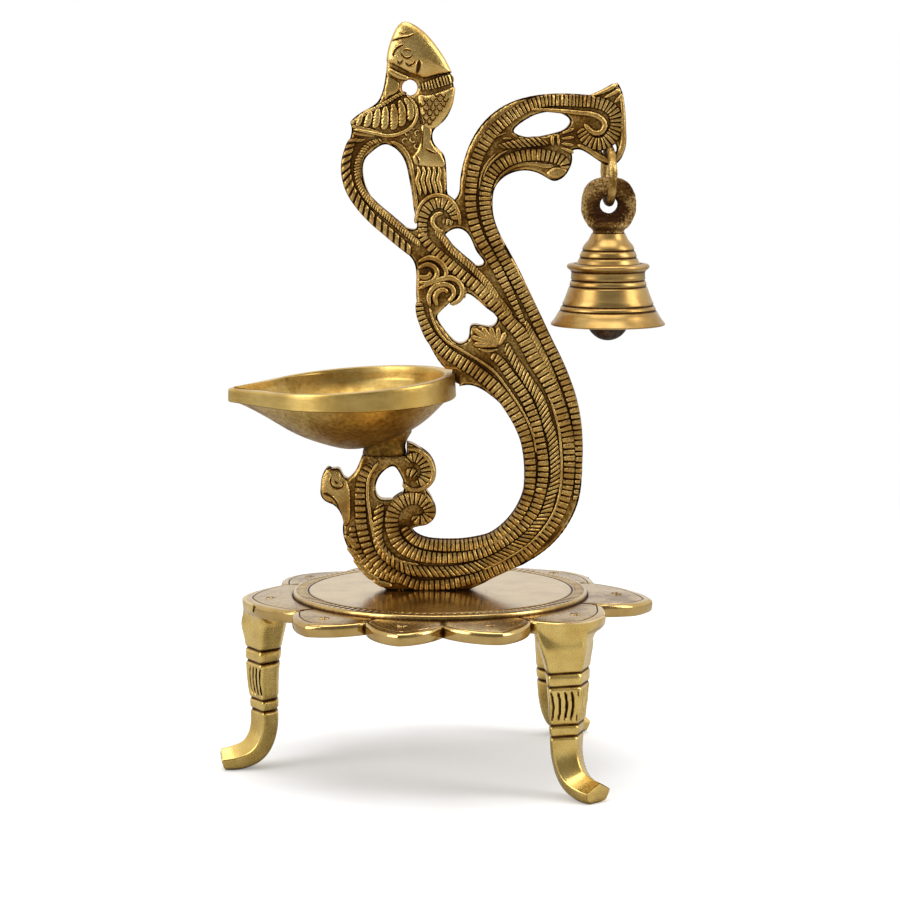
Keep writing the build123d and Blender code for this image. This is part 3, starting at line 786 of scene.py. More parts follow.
        rope = drawn(
            "18.2 120.6,20.2 117,22.6 113.4,25 109.8,27.4 106.2,29 102.2,30.2 98.2,31.4 94.4,31.9 90.7,"
            "32.3 86.4,32.2 82.1,31.1 77.9,29.8 73.6,27.4 69.9,24.2 66.1,20.5 63.2,15.7 60.2,10 57.9,5 56.8,"
            "0 56.4,-6.2 56.6,-9.9 57.5,-13.7 59.7,-16.3 62.4,-17.4 65.1,-17.7 68.3,-17.4 72,-17.1 75.7",
            (2.6, 3.1, 3.2, 3.1, 3.0, 3.1, 3.3, 3.4, 3.4, 3.0), pitches=(1.3, 1.3, 1.4, 1.7), lean=0.7,
        )
        lines = [
            smooth(
                "30.4 106,31.6 103,33.2 97,33.9 91,34.1 85,33.6 79,32.2 74,29.6 69.4,26 65.2,22 62.1,17 59.2,"
                "12 56.9",
                (0.8, 1.0, 0.9, 0.7), 0.8,
            ),
            smooth(
                "-17.4 87.6,-20 83.2,-20.4 78,-19.9 73.6,-19.2 69.3,-17.7 64.4,-14.6 61,-10.4 59.2,-6 58.4",
                (1.0, 1.2, 1.2, 0.8), 0.85,
            ),
        ]
        outer = drawn(
            "-11 53.9,-14.7 55,-18.7 57,-22.2 60.4,-24.2 65,-24.9 69.4",
            (2.6, 2.8, 2.8, 2.6, 2.0), pitches=(1.6,),
        )
        lobes = [
            smooth(t, (1.0, 2.0, 1.6), 0.8)
            for t in ("-27 66.8,-25.2 65.4,-23.6 62.6", "-26.2 63.4,-24.2 61.6,-22.2 58.9",
                      "-24.4 60,-22.2 58,-19.9 56", "-22 56.8,-19.6 55.2,-17.2 54", "-19 54,-16.4 53,-13.6 52.4")
        ]
        curl = [
            drawn(
                "-9.6 87.6,-8 88.9,-6 88.6,-4.4 86.8,-3.8 84.4,-4.8 82.4,-6.6 81.6",
                (2.2, 3.1, 3.3, 3.3, 2.6), pitches=(1.35,),
            ),
            smooth(
                "-9.4 91.4,-6.4 90.9,-3.6 88.8,-2.2 86,-2.1 83.2,-3.6 81,-6.2 79.7,-9 80,-10.4 81.6",
                (1.2, 1.5, 1.5, 1.4, 1.5, 1.3), 0.8,
            ),
            drawn("-9.7 84.9,-7.9 84.5,-6.7 83.6", (2.6, 3.0, 2.6), pitches=(1.3,)),
            smooth("-4.4 78.8,-2.8 76.8,-2.1 74.2,-2.6 71.8,-4.6 70,-7 69.6", (0.6, 0.8, 0.8, 0.8, 0.6), 0.5),
        ]
        head = Cushion(trace(
            "-26.9 69.4,-27.8 73.2,-29.7 75.7,-32.2 76.7,-33.4 78.4,-33.5 81,-32.9 83.9,-31.5 85.8,-30.1 85.3,"
            "-28.7 85.4,-27.8 83.8,-26.2 82.2,-25.3 79,-25.2 75,-25.4 71"
        ), 0.9)
        marks = [
            smooth(t, (0.8, 0.9, 0.7), 0.16, Chasing.FURROW)
            for t in ("-30.4 83.6,-30.8 82,-30 80.6,-28.4 80.2,-27.2 81,-27.4 82.2",
                      "-32.8 78.8,-31 78.2,-29.4 76.6,-28.4 74.4", "-29.6 82.4,-29 81.6,-28.4 82")
        ]
        self.relief("scroll_foot_relief", [edge, beside, second, rope, *lines, outer])
        self.relief("scroll_curl_relief", [*lobes, *curl], [head], marks)

    def tail(self) -> None:
        """The bird's long tail: a notched outer band, a beaded inner one, and the marks where it starts."""
        outer = drawn(
            "-23.6 178.4,-25 175.6,-26 171.6,-25.9 167.8,-24.6 163.6,-22.2 159.8,-19 156.2,-15.2 152.8,"
            "-11 149.2,-7.8 146.6",
            (2.2, 2.7, 3.0, 3.0, 3.0, 2.9, 2.7), Chasing.NOTCHED, (1.9, 2.1, 2.4, 2.4), lean=0.75, punched=0,
        )
        inner = drawn(
            "-16.2 177.6,-19.6 176.4,-22 173.4,-23 169.8,-22.5 165.8,-20.7 162.2,-17.8 159,-14.2 156,"
            "-10.6 152.9,-8 150.6,-5.4 148.4",
            (1.3, 1.9, 2.0, 2.0, 2.0, 1.9), Chasing.FINE, (0.8,), height=0.8, lean=0.4,
        )
        right = smooth(
            "-13.6 177.2,-10.6 175.4,-8.6 172.2,-7.6 168,-6.9 163,-6.2 158",
            (1.2, 1.5, 1.3, 1.0, 0.9), 0.55,
        )
        start = [
            smooth(t, (1.0, 1.2, 0.8), 0.5)
            for t in ("-24.4 181.3,-20 180.4,-15.8 179.2", "-24.2 179.4,-21 179,-18 178.6",
                      "-24.6 177.6,-22.6 177.4,-20.8 177.6")
        ]
        self.relief("tail_relief", [outer, inner, right, *start])

    def bird(self) -> None:
        """The bird's head, collars, breast, wing and thigh."""
        head = Cushion(trace(
            "-14.6 199.2,-14.2 202.4,-13.2 205.5,-12.1 207.9,-10.5 209.6,-8.2 209.5,-4 206.7,0.2 201.5,2.7 197,"
            "2.9 196.1,-1 195.3,-4.3 194.5,-6 195.2,-8.4 195.9,-11 197.3,-13.2 198.4"
        ), 2.1, 2.2, 96, 0.25)
        breast = Cushion(trace(
            "-6 189.8,-3 190,0.4 191,3.8 192.1,3.9 189.8,3.2 186.6,1.2 183.2,-1.4 180.8,-3.8 180.8,-5 183,"
            "-5.8 186.4"
        ), 1.2, 2.6, 56, 0.25)
        thigh = Cushion(trace(
            "-5 182,-2.6 181,-2.3 179.6,-2.5 177.8,-1.3 175.3,0.6 173.2,1.3 170.4,-1.2 170,-4 170.2,-6.9 170.8,"
            "-7.6 172.8,-6.4 174.6,-5.2 178"
        ), 0.7, 4.0, 56, 0.4)
        neck = Cushion(trace(
            "-14.4 195,-12.8 194.4,-11.4 193.2,-11.4 191.4,-12.4 190.2,-14 189.6,-15.2 188.6,-15.4 191,"
            "-14.9 193.2"
        ), 0.5, samples=40)
        marks = [
            ("-13.4 204.6,-11 205.4,-8.8 205.8,-7 206.6", 1.1),
            ("-12.9 200.4,-12.4 202,-11.2 203.1,-9.8 203.7", 1.3),
            ("-10.9 201.6,-10.1 200.4,-9 200,-7.9 200.4,-7.4 201.2", 0.9),
            ("-10.4 201.9,-9.4 202.3,-8.4 202.2,-7.9 201.6", 0.8),
            ("-11.8 199.4,-11.2 198.6,-10.5 198.9,-10.4 199.8", 1.0),
            ("-9.6 198.8,-8.5 198,-7.3 198.5,-6.8 199.6", 0.9),
            ("-5.7 199.6,-5.9 197.6,-6.4 195.8", 2.0),
            ("-11.4 207,-10 206.8,-8.8 207.4", 0.6),
            ("-4.6 180.4,-4.8 177,-5 174.4", 0.8),
            ("-4.2 175.2,-2.6 174.3,-1 173.7", 1.0),
            ("-6.8 173.4,-6 172,-6 170.6", 1.0),
        ]
        lines = [smooth(t, (w * 0.6, w, w * 0.6), 0.2, Chasing.FURROW) for t, w in marks]
        scale = 1.85
        for row, z in enumerate((190.0, 188.7, 187.4, 186.1, 184.8, 183.5, 182.4)):
            left, right = -5.4, 2.7 - 0.11 * row**2
            for k in range(int((right - left) / scale)):
                x = left + 0.7 + (0.9 if row % 2 else 0) + k * scale
                tilt = self.chance.uniform(-0.3, 0.3)
                if x > right - 0.3 or z > 189.3 + (x - left) * 0.22:
                    continue
                steps = ((-0.85, 0.5), (-0.55, -0.3 + tilt), (0, -0.62), (0.55, -0.3 - tilt), (0.85, 0.5))
                shape = np.array([[x + across, z + up] for across, up in steps])
                lines.append(ReliefBand(Route(shape), (0.5, 0.85, 0.5), Chasing.FURROW, height=0.24))
        collars = [
            smooth("-14.5 197,-12.4 195.7,-10.3 194.8,-8.6 194.5", (1.8, 2.0, 1.7), 1.1),
            drawn(
                "-6 192,-2.6 192.7,0.4 193.6,3.8 194.6",
                (1.8, 2.7, 3.0, 2.9), pitches=(0.85,), height=1.2, punched=0,
            ),
        ]
        feathers = [
            ("-21.6 184.8,-22.3 182.9,-22.8 181.2", 1.5), ("-19.3 185.6,-19.8 183.2,-20.4 180.9", 1.9),
            ("-17.2 186.3,-17.5 183.6,-17.9 180.7", 2.0), ("-15.2 186.9,-15.2 183.8,-15.3 180.3", 2.1),
            ("-13.2 187.6,-12.7 184.4,-12.8 180.2", 2.2), ("-11.4 188.5,-10.5 185.4,-10.5 181.2", 2.1),
            ("-9.9 189.1,-8.2 186.6,-8.1 182.8", 2.0),
        ]
        wing = [
            drawn(t, (1.2, w * 1.16, w * 1.22, w * 1.1), Chasing.FEATHER, (0.95,), height=0.85, lean=0.4)
            for t, w in feathers
        ]
        wing += [
            drawn(
                "-24.2 182.3,-21 184.5,-18 186.2,-14.8 187.9,-11.8 189.7,-9.4 190.6",
                (0.9, 1.1, 1.2, 1.0), Chasing.FINE, (0.9,), height=0.75, lean=0.5,
            ),
            smooth(
                "-9.2 190,-6.9 187.2,-6.4 184.2,-7.8 181.3,-11 179.3,-14.6 178.7,-18.4 179.4,-23.8 180.5",
                (0.7, 1.1, 1.2, 1.2, 1.0), 0.8,
            ),
        ]
        plume = []
        for x in (-6.3, -4.8, -3.3, -1.8, -0.4):
            drift = self.chance.uniform(-0.15, 0.15)
            plume.append(ReliefBand(
                Route(np.array([
                    [x, 170.4], [x + 0.35 + drift, 168.4], [x - 0.1, 166.4], [x + 0.4, 164.4],
                    [x + 0.9, 162.6 - abs(x + 3) * 0.18],
                ])),
                (0.6, 1.25, 1.35, 1.25, 0.7), Chasing.SMOOTH, height=0.7,
            ))
        petals = []
        for cx, cz, turn in ((-8.9, 179.4, 0.4), (-7.2, 181.2, 1.1), (-7.6, 177.6, 2.0), (-9.7, 177.2, 0.2),
                             (-6.2, 179.4, 0.8), (-6.4, 175.8, 1.6)):
            a = np.linspace(0, 4.2, 6) + turn
            ring = Route(np.stack([cx + 0.75 * np.cos(a), cz + 0.75 * np.sin(a)], 1))
            petals.append(ReliefBand(ring, (0.5, 0.6, 0.5), Chasing.SMOOTH, height=0.5))
        self.relief("bird_relief", [*collars, *plume, *petals], [head, breast, thigh, neck], lines, bird=True)
        self.relief("wing_relief", wing, bird=True)

    def curls(self) -> None:
        """The spiral under the bird, the cloud curls at the heart of the scroll, and the leaf fan."""
        spiral = [
            smooth(
                "-6.8 154.4,-6 158.4,-4.2 161,-1.4 162.3,1.4 161.9,3.8 160,5.2 157,5.6 153.8",
                (1.0, 1.2, 1.3, 1.3, 1.1), 0.85,
            ),
            drawn(
                "-4.4 150.6,-4.9 154,-4.3 157.2,-2.6 159.4,0 160.2,2.4 159.2,4 157.2,4.2 155.2",
                (2.4, 3.0, 3.3, 3.3, 2.6), pitches=(1.4,),
            ),
            smooth("0.9 157.3,-0.8 157.1,-2 155.8,-1.9 154,-0.4 152.6,1.2 152.2", (1.0, 1.5, 1.6, 1.4, 1.0), 0.9),
            drawn("0.4 155.3,2 154.9,3.8 154.5", (1.4, 2.0, 1.2), pitches=(1.2,)),
        ]
        upper = [
            "-6.2 143.8,-2.8 145,0.2 143.6,1.7 141.2,1.3 138.8",
            "-6.2 141.9,-4 143.1,-1.8 142.5,-0.8 140.7,-1.6 138.9,-3.6 138,-6 138.2",
            "-2.8 141.2,-3 139.9,-4.6 139.4,-5.8 140.2",
            "-6 136.2,-3.4 137.6,0.4 139,3.2 139.3,5.5 137.8,6.2 135.2,5 133,2.8 131.9",
            "-2.8 131.2,-3.2 134,-1.9 136.6,0.6 137.6,2.9 137,3.9 135.2,3.1 133.5,1.9 132.9",
            "-0.8 131.4,-1.4 134,-0.1 135.9,1.5 135.9,2 134.9",
        ]
        clouds = [smooth(t, (1.1, 1.75, 1.85, 1.7, 1.2), 1.0) for t in upper]
        stub = drawn("5 138.4,6.8 136,6.6 133.6", (0.8, 1.2, 0.8), pitches=(0.9,), height=0.6)
        fan, (foot_x, foot_z) = [], (16.2, 120.4)
        for x, z, bow in ((9.2, 125.2, -0.2), (8.6, 123, 0), (9.2, 120.8, 0.2), (11.7, 125.6, -0.3), (14, 125.7, -0.2),
                          (16.2, 125.6, 0), (18.2, 124.2, 0.2)):
            lobe = np.array([[foot_x, foot_z], [(foot_x + x) / 2 + bow, (foot_z + z) / 2], [x, z]])
            fan.append(ReliefBand(Route(lobe), (0.9, 1.5, 2.0, 1.5), Chasing.SMOOTH, height=1.1))
        fan.append(smooth("10.6 119.6,13.4 118.9,16.4 119.4", (0.8, 1.2, 0.7), 0.7))
        self.relief("scroll_cloud_relief", [*spiral, *clouds, stub, *fan])

    def build(self, node: bpy.types.Object) -> None:
        """Builds the body and all its relief."""
        self.body(node)
        self.arch()
        self.stem()
        self.foot()
        self.tail()
        self.bird()
        self.curls()


# ---------------------------------------------------------------------------------------------------------
# The plate and its legs
# ---------------------------------------------------------------------------------------------------------


@dataclass
class LotusPlate:
    """A polished disc with a hatched border, standing a step above ten engraved petals."""

    finish: BrassFinish
    top: float = 51.0
    step: float = 1.4
    under: float = 47.0
    disc_radius: float = 41.5
    border_inner: float = 37.4
    hatches: int = 118
    around: int = 944
    inlay: float = 2.6
    droop: float = 0.7
    droop_from: float = 43.0
    droop_over: float = 12.7
    ledge: float = 45.4
    seam: float = 0.55
    seam_at: float = 47.0
    edge_from: float = 47.0
    hole_clear: float = 3.0
    petal_dark: float = 0.34
    hole_at: float = 49.5
    holes: Sequence[float] = (183, 314, 48)
    rim_profile: Sequence[Sequence[float]] = (
        (1.2, 0.0, 0.2), (0.65, 0.08, 0.1), (0.3, 0.3, 0.0), (0.08, 0.7, 0.0), (0.0, 1.2, 0.0), (0.05, 2.2, 0.0),
        (0.2, 3.0, 0.1), (0.6, 3.5, 0.2),
    )
    notches: Sequence[float] = (339, 23, 70, 98, 126, 160, 214, 245, 271, 301)

    def outline(self, node: bpy.types.Object, turns: np.ndarray) -> np.ndarray:
        """The petals' edge, read from the CAD node.

        Args:
            node: The plate's CAD node.
            turns: Directions in radians.

        Returns:
            The radius of the edge in each direction.
        """
        holes = [
            Vector((math.cos(math.radians(a)), math.sin(math.radians(a)))) * self.hole_at * MM
            for a in self.holes
        ]
        edge = sorted(
            {(round(math.atan2(v.co.y, v.co.x) % math.tau, 6), math.hypot(v.co.x, v.co.y) / MM)
             for v in node.data.vertices
             if math.hypot(v.co.x, v.co.y) > self.edge_from * MM
             and all((v.co.xy - hole).length > self.hole_clear * MM for hole in holes)}
        )
        angles, radii = np.array(edge).T
        return np.interp(turns, angles, radii, period=math.tau)

    def grid(self, edge: np.ndarray, turns: np.ndarray) -> np.ndarray:
        """The rings of the plate, from the middle of its top over the edge to the middle of its underside."""
        petal = self.top - self.step
        ones = np.ones_like(turns)
        inner = self.border_inner
        phase = (turns / math.tau * self.hatches) % 1.0
        cut = (np.abs(phase - 0.5) < 0.17).astype(float)
        rows: list[tuple[np.ndarray, np.ndarray, np.ndarray]] = []

        def ring(radius: np.ndarray | float, height: np.ndarray | float, dark: np.ndarray | float) -> None:
            """Adds one ring, lower towards the petals' tips, which droop."""
            fall = self.droop * np.clip((radius * ones - self.droop_from) / self.droop_over, 0, 1) ** 2
            rows.append((radius * ones, height * ones - fall, dark * ones))

        for radius in (0.0, 6, 14, 22, 29, 34, 36.2, inner - 0.55):
            ring(radius, self.top, 0)
        ring(inner - 0.38, self.top - 0.08, 0.6)
        ring(inner - 0.2, self.top - 0.3, 1)
        ring(inner, self.top - 0.3, 1)
        ring(inner + 0.18, self.top - 0.05, 0.4)
        ring(inner + 0.35, self.top, 0.1)
        ring(inner + 0.5, self.top - 0.22 * cut, 0.15 + 0.85 * cut)
        ring(inner + 1.2, self.top - 0.25 * cut, 0.85 * cut)
        ring(inner + 2.2, self.top - 0.25 * cut, 0.85 * cut)
        ring(inner + 3.1, self.top - 0.22 * cut, 0.15 + 0.85 * cut)
        ring(inner + 3.3, self.top, 0.1)
        ring(self.disc_radius - 0.35, self.top - 0.02, 0)
        ring(self.disc_radius - 0.08, self.top - 0.2, 0.1)
        ring(self.disc_radius, self.top - 0.7, 0.3)
        foot = self.disc_radius + 0.12
        ring(foot, petal - 0.1, 1)
        for radius in (42.0, 42.8, 43.8, 44.9):
            seams = self.seams(turns, self.seam / radius)
            ring(radius, petal - 0.45 * seams + 0.12, self.petal_dark + 0.6 * seams)
        reach = edge - self.ledge
        for share in (0.0, 0.35, 0.7, 1.0):
            radius = self.ledge + (edge - self.inlay - 0.5 - self.ledge) * share
            radius = np.maximum(radius, self.ledge + share * 0.4)
            seams = self.seams(turns, self.seam / self.seam_at)
            ring(radius, petal - 0.5 * seams + 0.12 * (1 - share), self.petal_dark + 0.6 * seams)
        calm = np.clip(reach / 6.0, 0.0, 1.0)
        for back, low, dark in ((0.28, 0.0, 0.2), (0.12, 0.2, 1.0), (-0.12, 0.2, 1.0), (-0.28, 0.0, 0.2)):
            radius = np.maximum(edge - self.inlay * (0.45 + 0.55 * calm) - back, 45.9)
            ring(radius, petal - low - 0.5 * seams, np.maximum(dark, seams))
        for back, low, dark in self.rim_profile:
            pinch = self.seams(turns, 0.7 / 48.0) * max(0.0, 0.6 - back * 0.3)
            ring(edge - back - pinch * 0.5, petal - low - 0.35 * pinch * (low < 0.8), np.maximum(dark, pinch))
        ring(edge - 1.4, self.under - 0.9, 0.2)
        ring(45.6, self.under, 0.2)
        for radius in (44.0, 36.0, 24.0, 12.0, 0.0):
            ring(radius, self.under, 0.15)
        grid = np.zeros((len(rows), len(turns), 4))
        for k, (radius, height, dark) in enumerate(rows):
            grid[k] = np.stack([radius * np.cos(turns), radius * np.sin(turns), height, dark], 1)
        return grid

    def seams(self, turns: np.ndarray, width: float) -> np.ndarray:
        """How deep the cut between two petals is in each direction, from 0 to 1."""
        deep = np.zeros_like(turns)
        for notch in self.notches:
            away = (turns - math.radians(notch) + math.pi) % math.tau - math.pi
            deep = np.maximum(deep, np.exp(-((away / width) ** 2)))
        return deep

    def chased_petals(self, edge: np.ndarray, turns: np.ndarray, material: bpy.types.Material) -> None:
        """The punched sprig on each petal, and the short strokes beside it."""
        mesh, chance = new_mesh(), random.Random(21)
        petal = self.top - self.step
        for index, notch in enumerate(self.notches):
            span = (self.notches[(index + 1) % len(self.notches)] - notch) % 360
            middle = math.radians(notch + span / 2)
            reach = float(np.interp(middle % math.tau, turns, edge, period=math.tau))
            centre = 0.5 * (43.2 + reach - self.inlay)
            for k in range(5):
                spoke = k * math.tau / 5 + chance.uniform(-0.2, 0.2)
                away = np.array([[math.cos(spoke), math.sin(spoke)]])
                start = np.array([[centre * math.cos(middle), centre * math.sin(middle)]])
                route = Route(np.vstack([start + 0.45 * away, start + 1.6 * away]))
                ReliefBand(route, (0.8, 1.3, 0.8), Chasing.FURROW, height=0.09).add_to_top(mesh, chance, petal)
            for side in (-1, 1):
                turn = middle + side * math.radians(span) * 0.26
                for k in range(3):
                    low, high = 43.0 + 0.9 * k, 44.6 + 0.9 * k
                    ends = ((low, turn), (high, turn + side * 0.02))
                    points = np.array([[radius * math.cos(a), radius * math.sin(a)] for radius, a in ends])
                    stroke = ReliefBand(Route(points), (0.7, 1.1, 0.6), Chasing.FURROW, height=0.09)
                    stroke.add_to_top(mesh, chance, petal)
        piece("petal_chasing", mesh, material, "root")

    def build(self, node: bpy.types.Object) -> np.ndarray:
        """Builds the plate.

        Args:
            node: The plate's CAD node.

        Returns:
            The radius of its edge in evenly spaced directions, for the legs that reach up over it.
        """
        material = self.finish.make()
        turns = np.arange(self.around) / self.around * math.tau
        edge = self.outline(node, turns)
        mesh = new_mesh()
        lofted(mesh, self.grid(edge, turns), poles=(True, True))
        piece("lotus_plate", mesh, material, "root", ["base_plate"], crease=50)
        self.chased_petals(edge, turns, material)
        return edge


@dataclass
class BentLeg:
    """A filed leg with a ridge along its outside, two pairs of cut rings, and flutes between them."""

    name: str
    direction: float
    material: bpy.types.Material
    rim: np.ndarray
    sections: Sequence[Sequence[float]] = (
        (48.9, 55.0, 7.4, 11.4, 12.6, 6.0, 0), (47.0, 55.2, 7.0, 11.0, 12.6, 6.0, 0),
        (42.0, 56.6, 6.4, 10.4, 13.2, 5.4, 0), (36.0, 55.5, 4.8, 8.7, 10.8, 4.2, 0),
        (27.0, 55.1, 4.4, 8.0, 9.4, 3.4, 0), (18.0, 54.1, 4.0, 6.8, 8.2, 2.9, 0),
        (12.0, 54.2, 3.8, 6.0, 8.0, 2.7, 8),
        (8.2, 56.0, 3.6, 5.4, 8.0, 2.7, 38), (6.6, 59.2, 3.2, 5.0, 7.4, 3.0, 62), (5.8, 62.4, 2.6, 4.8, 6.0, 3.6, 80),
    )
    rings_at: Sequence[float] = (35.0, 31.3, 20.5, 17.3)
    flutes: int = 4
    flute_span: Pair = (21.6, 30.4)
    face_points: int = 26
    side_points: Sequence[int] = (9, 6, 9)
    foot_row: int = 6
    knee_z: float = 43.0
    knee_x: float = 46.0

    def polygon(self, section: np.ndarray) -> np.ndarray:
        """One section's outline, as points around it: two outer faces, then the sides and the back."""
        _, _, inward, sideways, depth, half, _ = section
        corners = np.array(
            [[0, 0], [-inward, sideways], [-depth, half], [-depth, -half], [-inward, -sideways], [0, 0]]
        )
        counts = (self.face_points, *self.side_points, self.face_points)
        parts = [
            np.stack([np.linspace(a[k], b[k], n, endpoint=False) for k in (0, 1)], 1)
            for a, b, n in zip(corners[:-1], corners[1:], counts)
        ]
        return np.vstack(parts)

    def cuts(self, height: float, count: int) -> tuple[np.ndarray, np.ndarray]:
        """The filed rings and flutes at one height.

        Args:
            height: The section's height.
            count: How many points the section has.

        Returns:
            How deep each point is cut, and its patina.
        """
        inset, dark = np.zeros(count), np.zeros(count)
        for z in self.rings_at:
            near = abs(height - z)
            if near < 0.7:
                inset += 0.6 * (1 - near / 0.7)
                dark = np.maximum(dark, 1 - near / 0.75)
        low, high = self.flute_span
        if low < height < high:
            face = np.arange(self.face_points) / self.face_points
            share = np.concatenate([face, np.full(sum(self.side_points), -1.0), 1 - face])
            bow = 0.35 * math.sin(math.pi * (height - low) / (high - low))
            wave = np.abs(((share * (self.flutes + 0.6) + 0.1 + bow) % 1.0) - 0.5)
            cut = np.where(share >= 0.04, np.clip((0.24 - wave) / 0.2, 0, 1), 0)
            ends = min(1.0, height - low, high - height)
            inset += 0.7 * cut * ends
            dark = np.maximum(dark, np.clip(cut * 1.6, 0, 1) * ends)
        return inset, dark

    def grid(self) -> np.ndarray:
        """All rings of the leg, in its own direction along +X."""
        table = np.array(self.sections, float)
        spans = ((48.9, 36.4, 15), (30.2, 21.8, 14), (16.4, 12, 7))
        heights = {z for high, low, count in spans for z in np.linspace(high, low, count)}
        heights |= {z + d for z in self.rings_at for d in (0.75, 0.45, 0.15, -0.15, -0.45, -0.75)}
        heights = sorted(heights | {33.2, 30.8, 21.1, 19, 18.4}, reverse=True)
        params = [float(np.interp(-z, -table[:, 0], np.arange(len(table)))) for z in heights]
        params += list(np.linspace(self.foot_row, len(table) - 1, 28))[1:]
        rows = []
        for t in params:
            section = self.section(table, t)
            flat = self.polygon(section)
            # Corners are eased by a running mean around the section.
            weights = zip(range(-3, 4), (0.08, 0.14, 0.18, 0.2, 0.18, 0.14, 0.08))
            flat = sum((share * np.roll(flat, shift, axis=0) for shift, share in weights), np.zeros_like(flat))
            height = section[0]
            inset, dark = self.cuts(height, len(flat)) if t < self.foot_row else np.zeros((2, len(flat)))
            toward = np.array([-section[4] * 0.5, 0.0]) - flat
            toward /= np.maximum(np.linalg.norm(toward, axis=1), 1e-6)[:, None]
            flat = flat + toward * inset[:, None]
            tilt = math.radians(section[6])
            x = section[1] + flat[:, 0] * math.cos(tilt)
            z = height + flat[:, 0] * math.sin(tilt)
            row = np.stack([x, flat[:, 1], np.maximum(z, 0.0), dark], 1)
            rows.append(self.covering(row) if height > self.knee_z else row)
        first, last = rows[0], rows[-1]
        above = [self.shrunk(first, size, 0) for size in (0.0, 0.6)]
        toe = [self.shrunk(last, size, out) for size, out in ((0.96, -0.5), (0.9, 0), (0.45, 0.35), (0.0, 0.4))]
        return np.stack([*above, first, *rows[1:-1], *toe])

    @staticmethod
    def section(table: np.ndarray, t: float) -> np.ndarray:
        """The section at a place between two rows of the table, on a smooth curve through its rows."""
        k = int(min(t, len(table) - 1.001))
        a, b, c, d = (table[min(max(k + step, 0), len(table) - 1)] for step in (-1, 0, 1, 2))
        f = t - k
        return through(a, b, c, d, f)

    def covering(self, row: np.ndarray) -> np.ndarray:
        """A ring pushed out just past the petal's rim, so that the knee runs up over it to the petal's top."""
        made = row.copy()
        turns = (np.arctan2(row[:, 1], row[:, 0]) + math.radians(self.direction)) % math.tau
        around = np.arange(len(self.rim)) / len(self.rim) * math.tau
        reach = np.interp(turns, around, self.rim, period=math.tau) + 0.3
        away = np.hypot(row[:, 0], row[:, 1])
        share = np.clip((row[:, 2] - self.knee_z) / 4.0, 0, 1) * (row[:, 0] > self.knee_x)
        grown = away + np.maximum(reach - away, 0) * share
        made[:, :2] *= (grown / away)[:, None]
        return made

    @staticmethod
    def shrunk(ring: np.ndarray, size: float, out: float) -> np.ndarray:
        """A ring drawn in towards its middle, and moved outwards along +X."""
        made = ring.copy()
        middle = ring[:, :3].mean(axis=0)
        made[:, :3] = middle + (ring[:, :3] - middle) * size + np.array([out, 0, 0])
        made[:, 2] = np.maximum(made[:, 2], 0.0)
        return made

    def build(self) -> None:
        """Builds the leg and turns it to its direction."""
        grid = self.grid()
        turn = math.radians(self.direction)
        x, y = grid[:, :, 0].copy(), grid[:, :, 1].copy()
        grid[:, :, 0] = x * math.cos(turn) - y * math.sin(turn)
        grid[:, :, 1] = x * math.sin(turn) + y * math.cos(turn)
        mesh = new_mesh()
        lofted(mesh, grid, poles=(True, True))
        piece(f"{self.name}_filed", mesh, self.material, "root", [self.name], crease=38)


# ---------------------------------------------------------------------------------------------------------
# The lamp bowl
# ---------------------------------------------------------------------------------------------------------


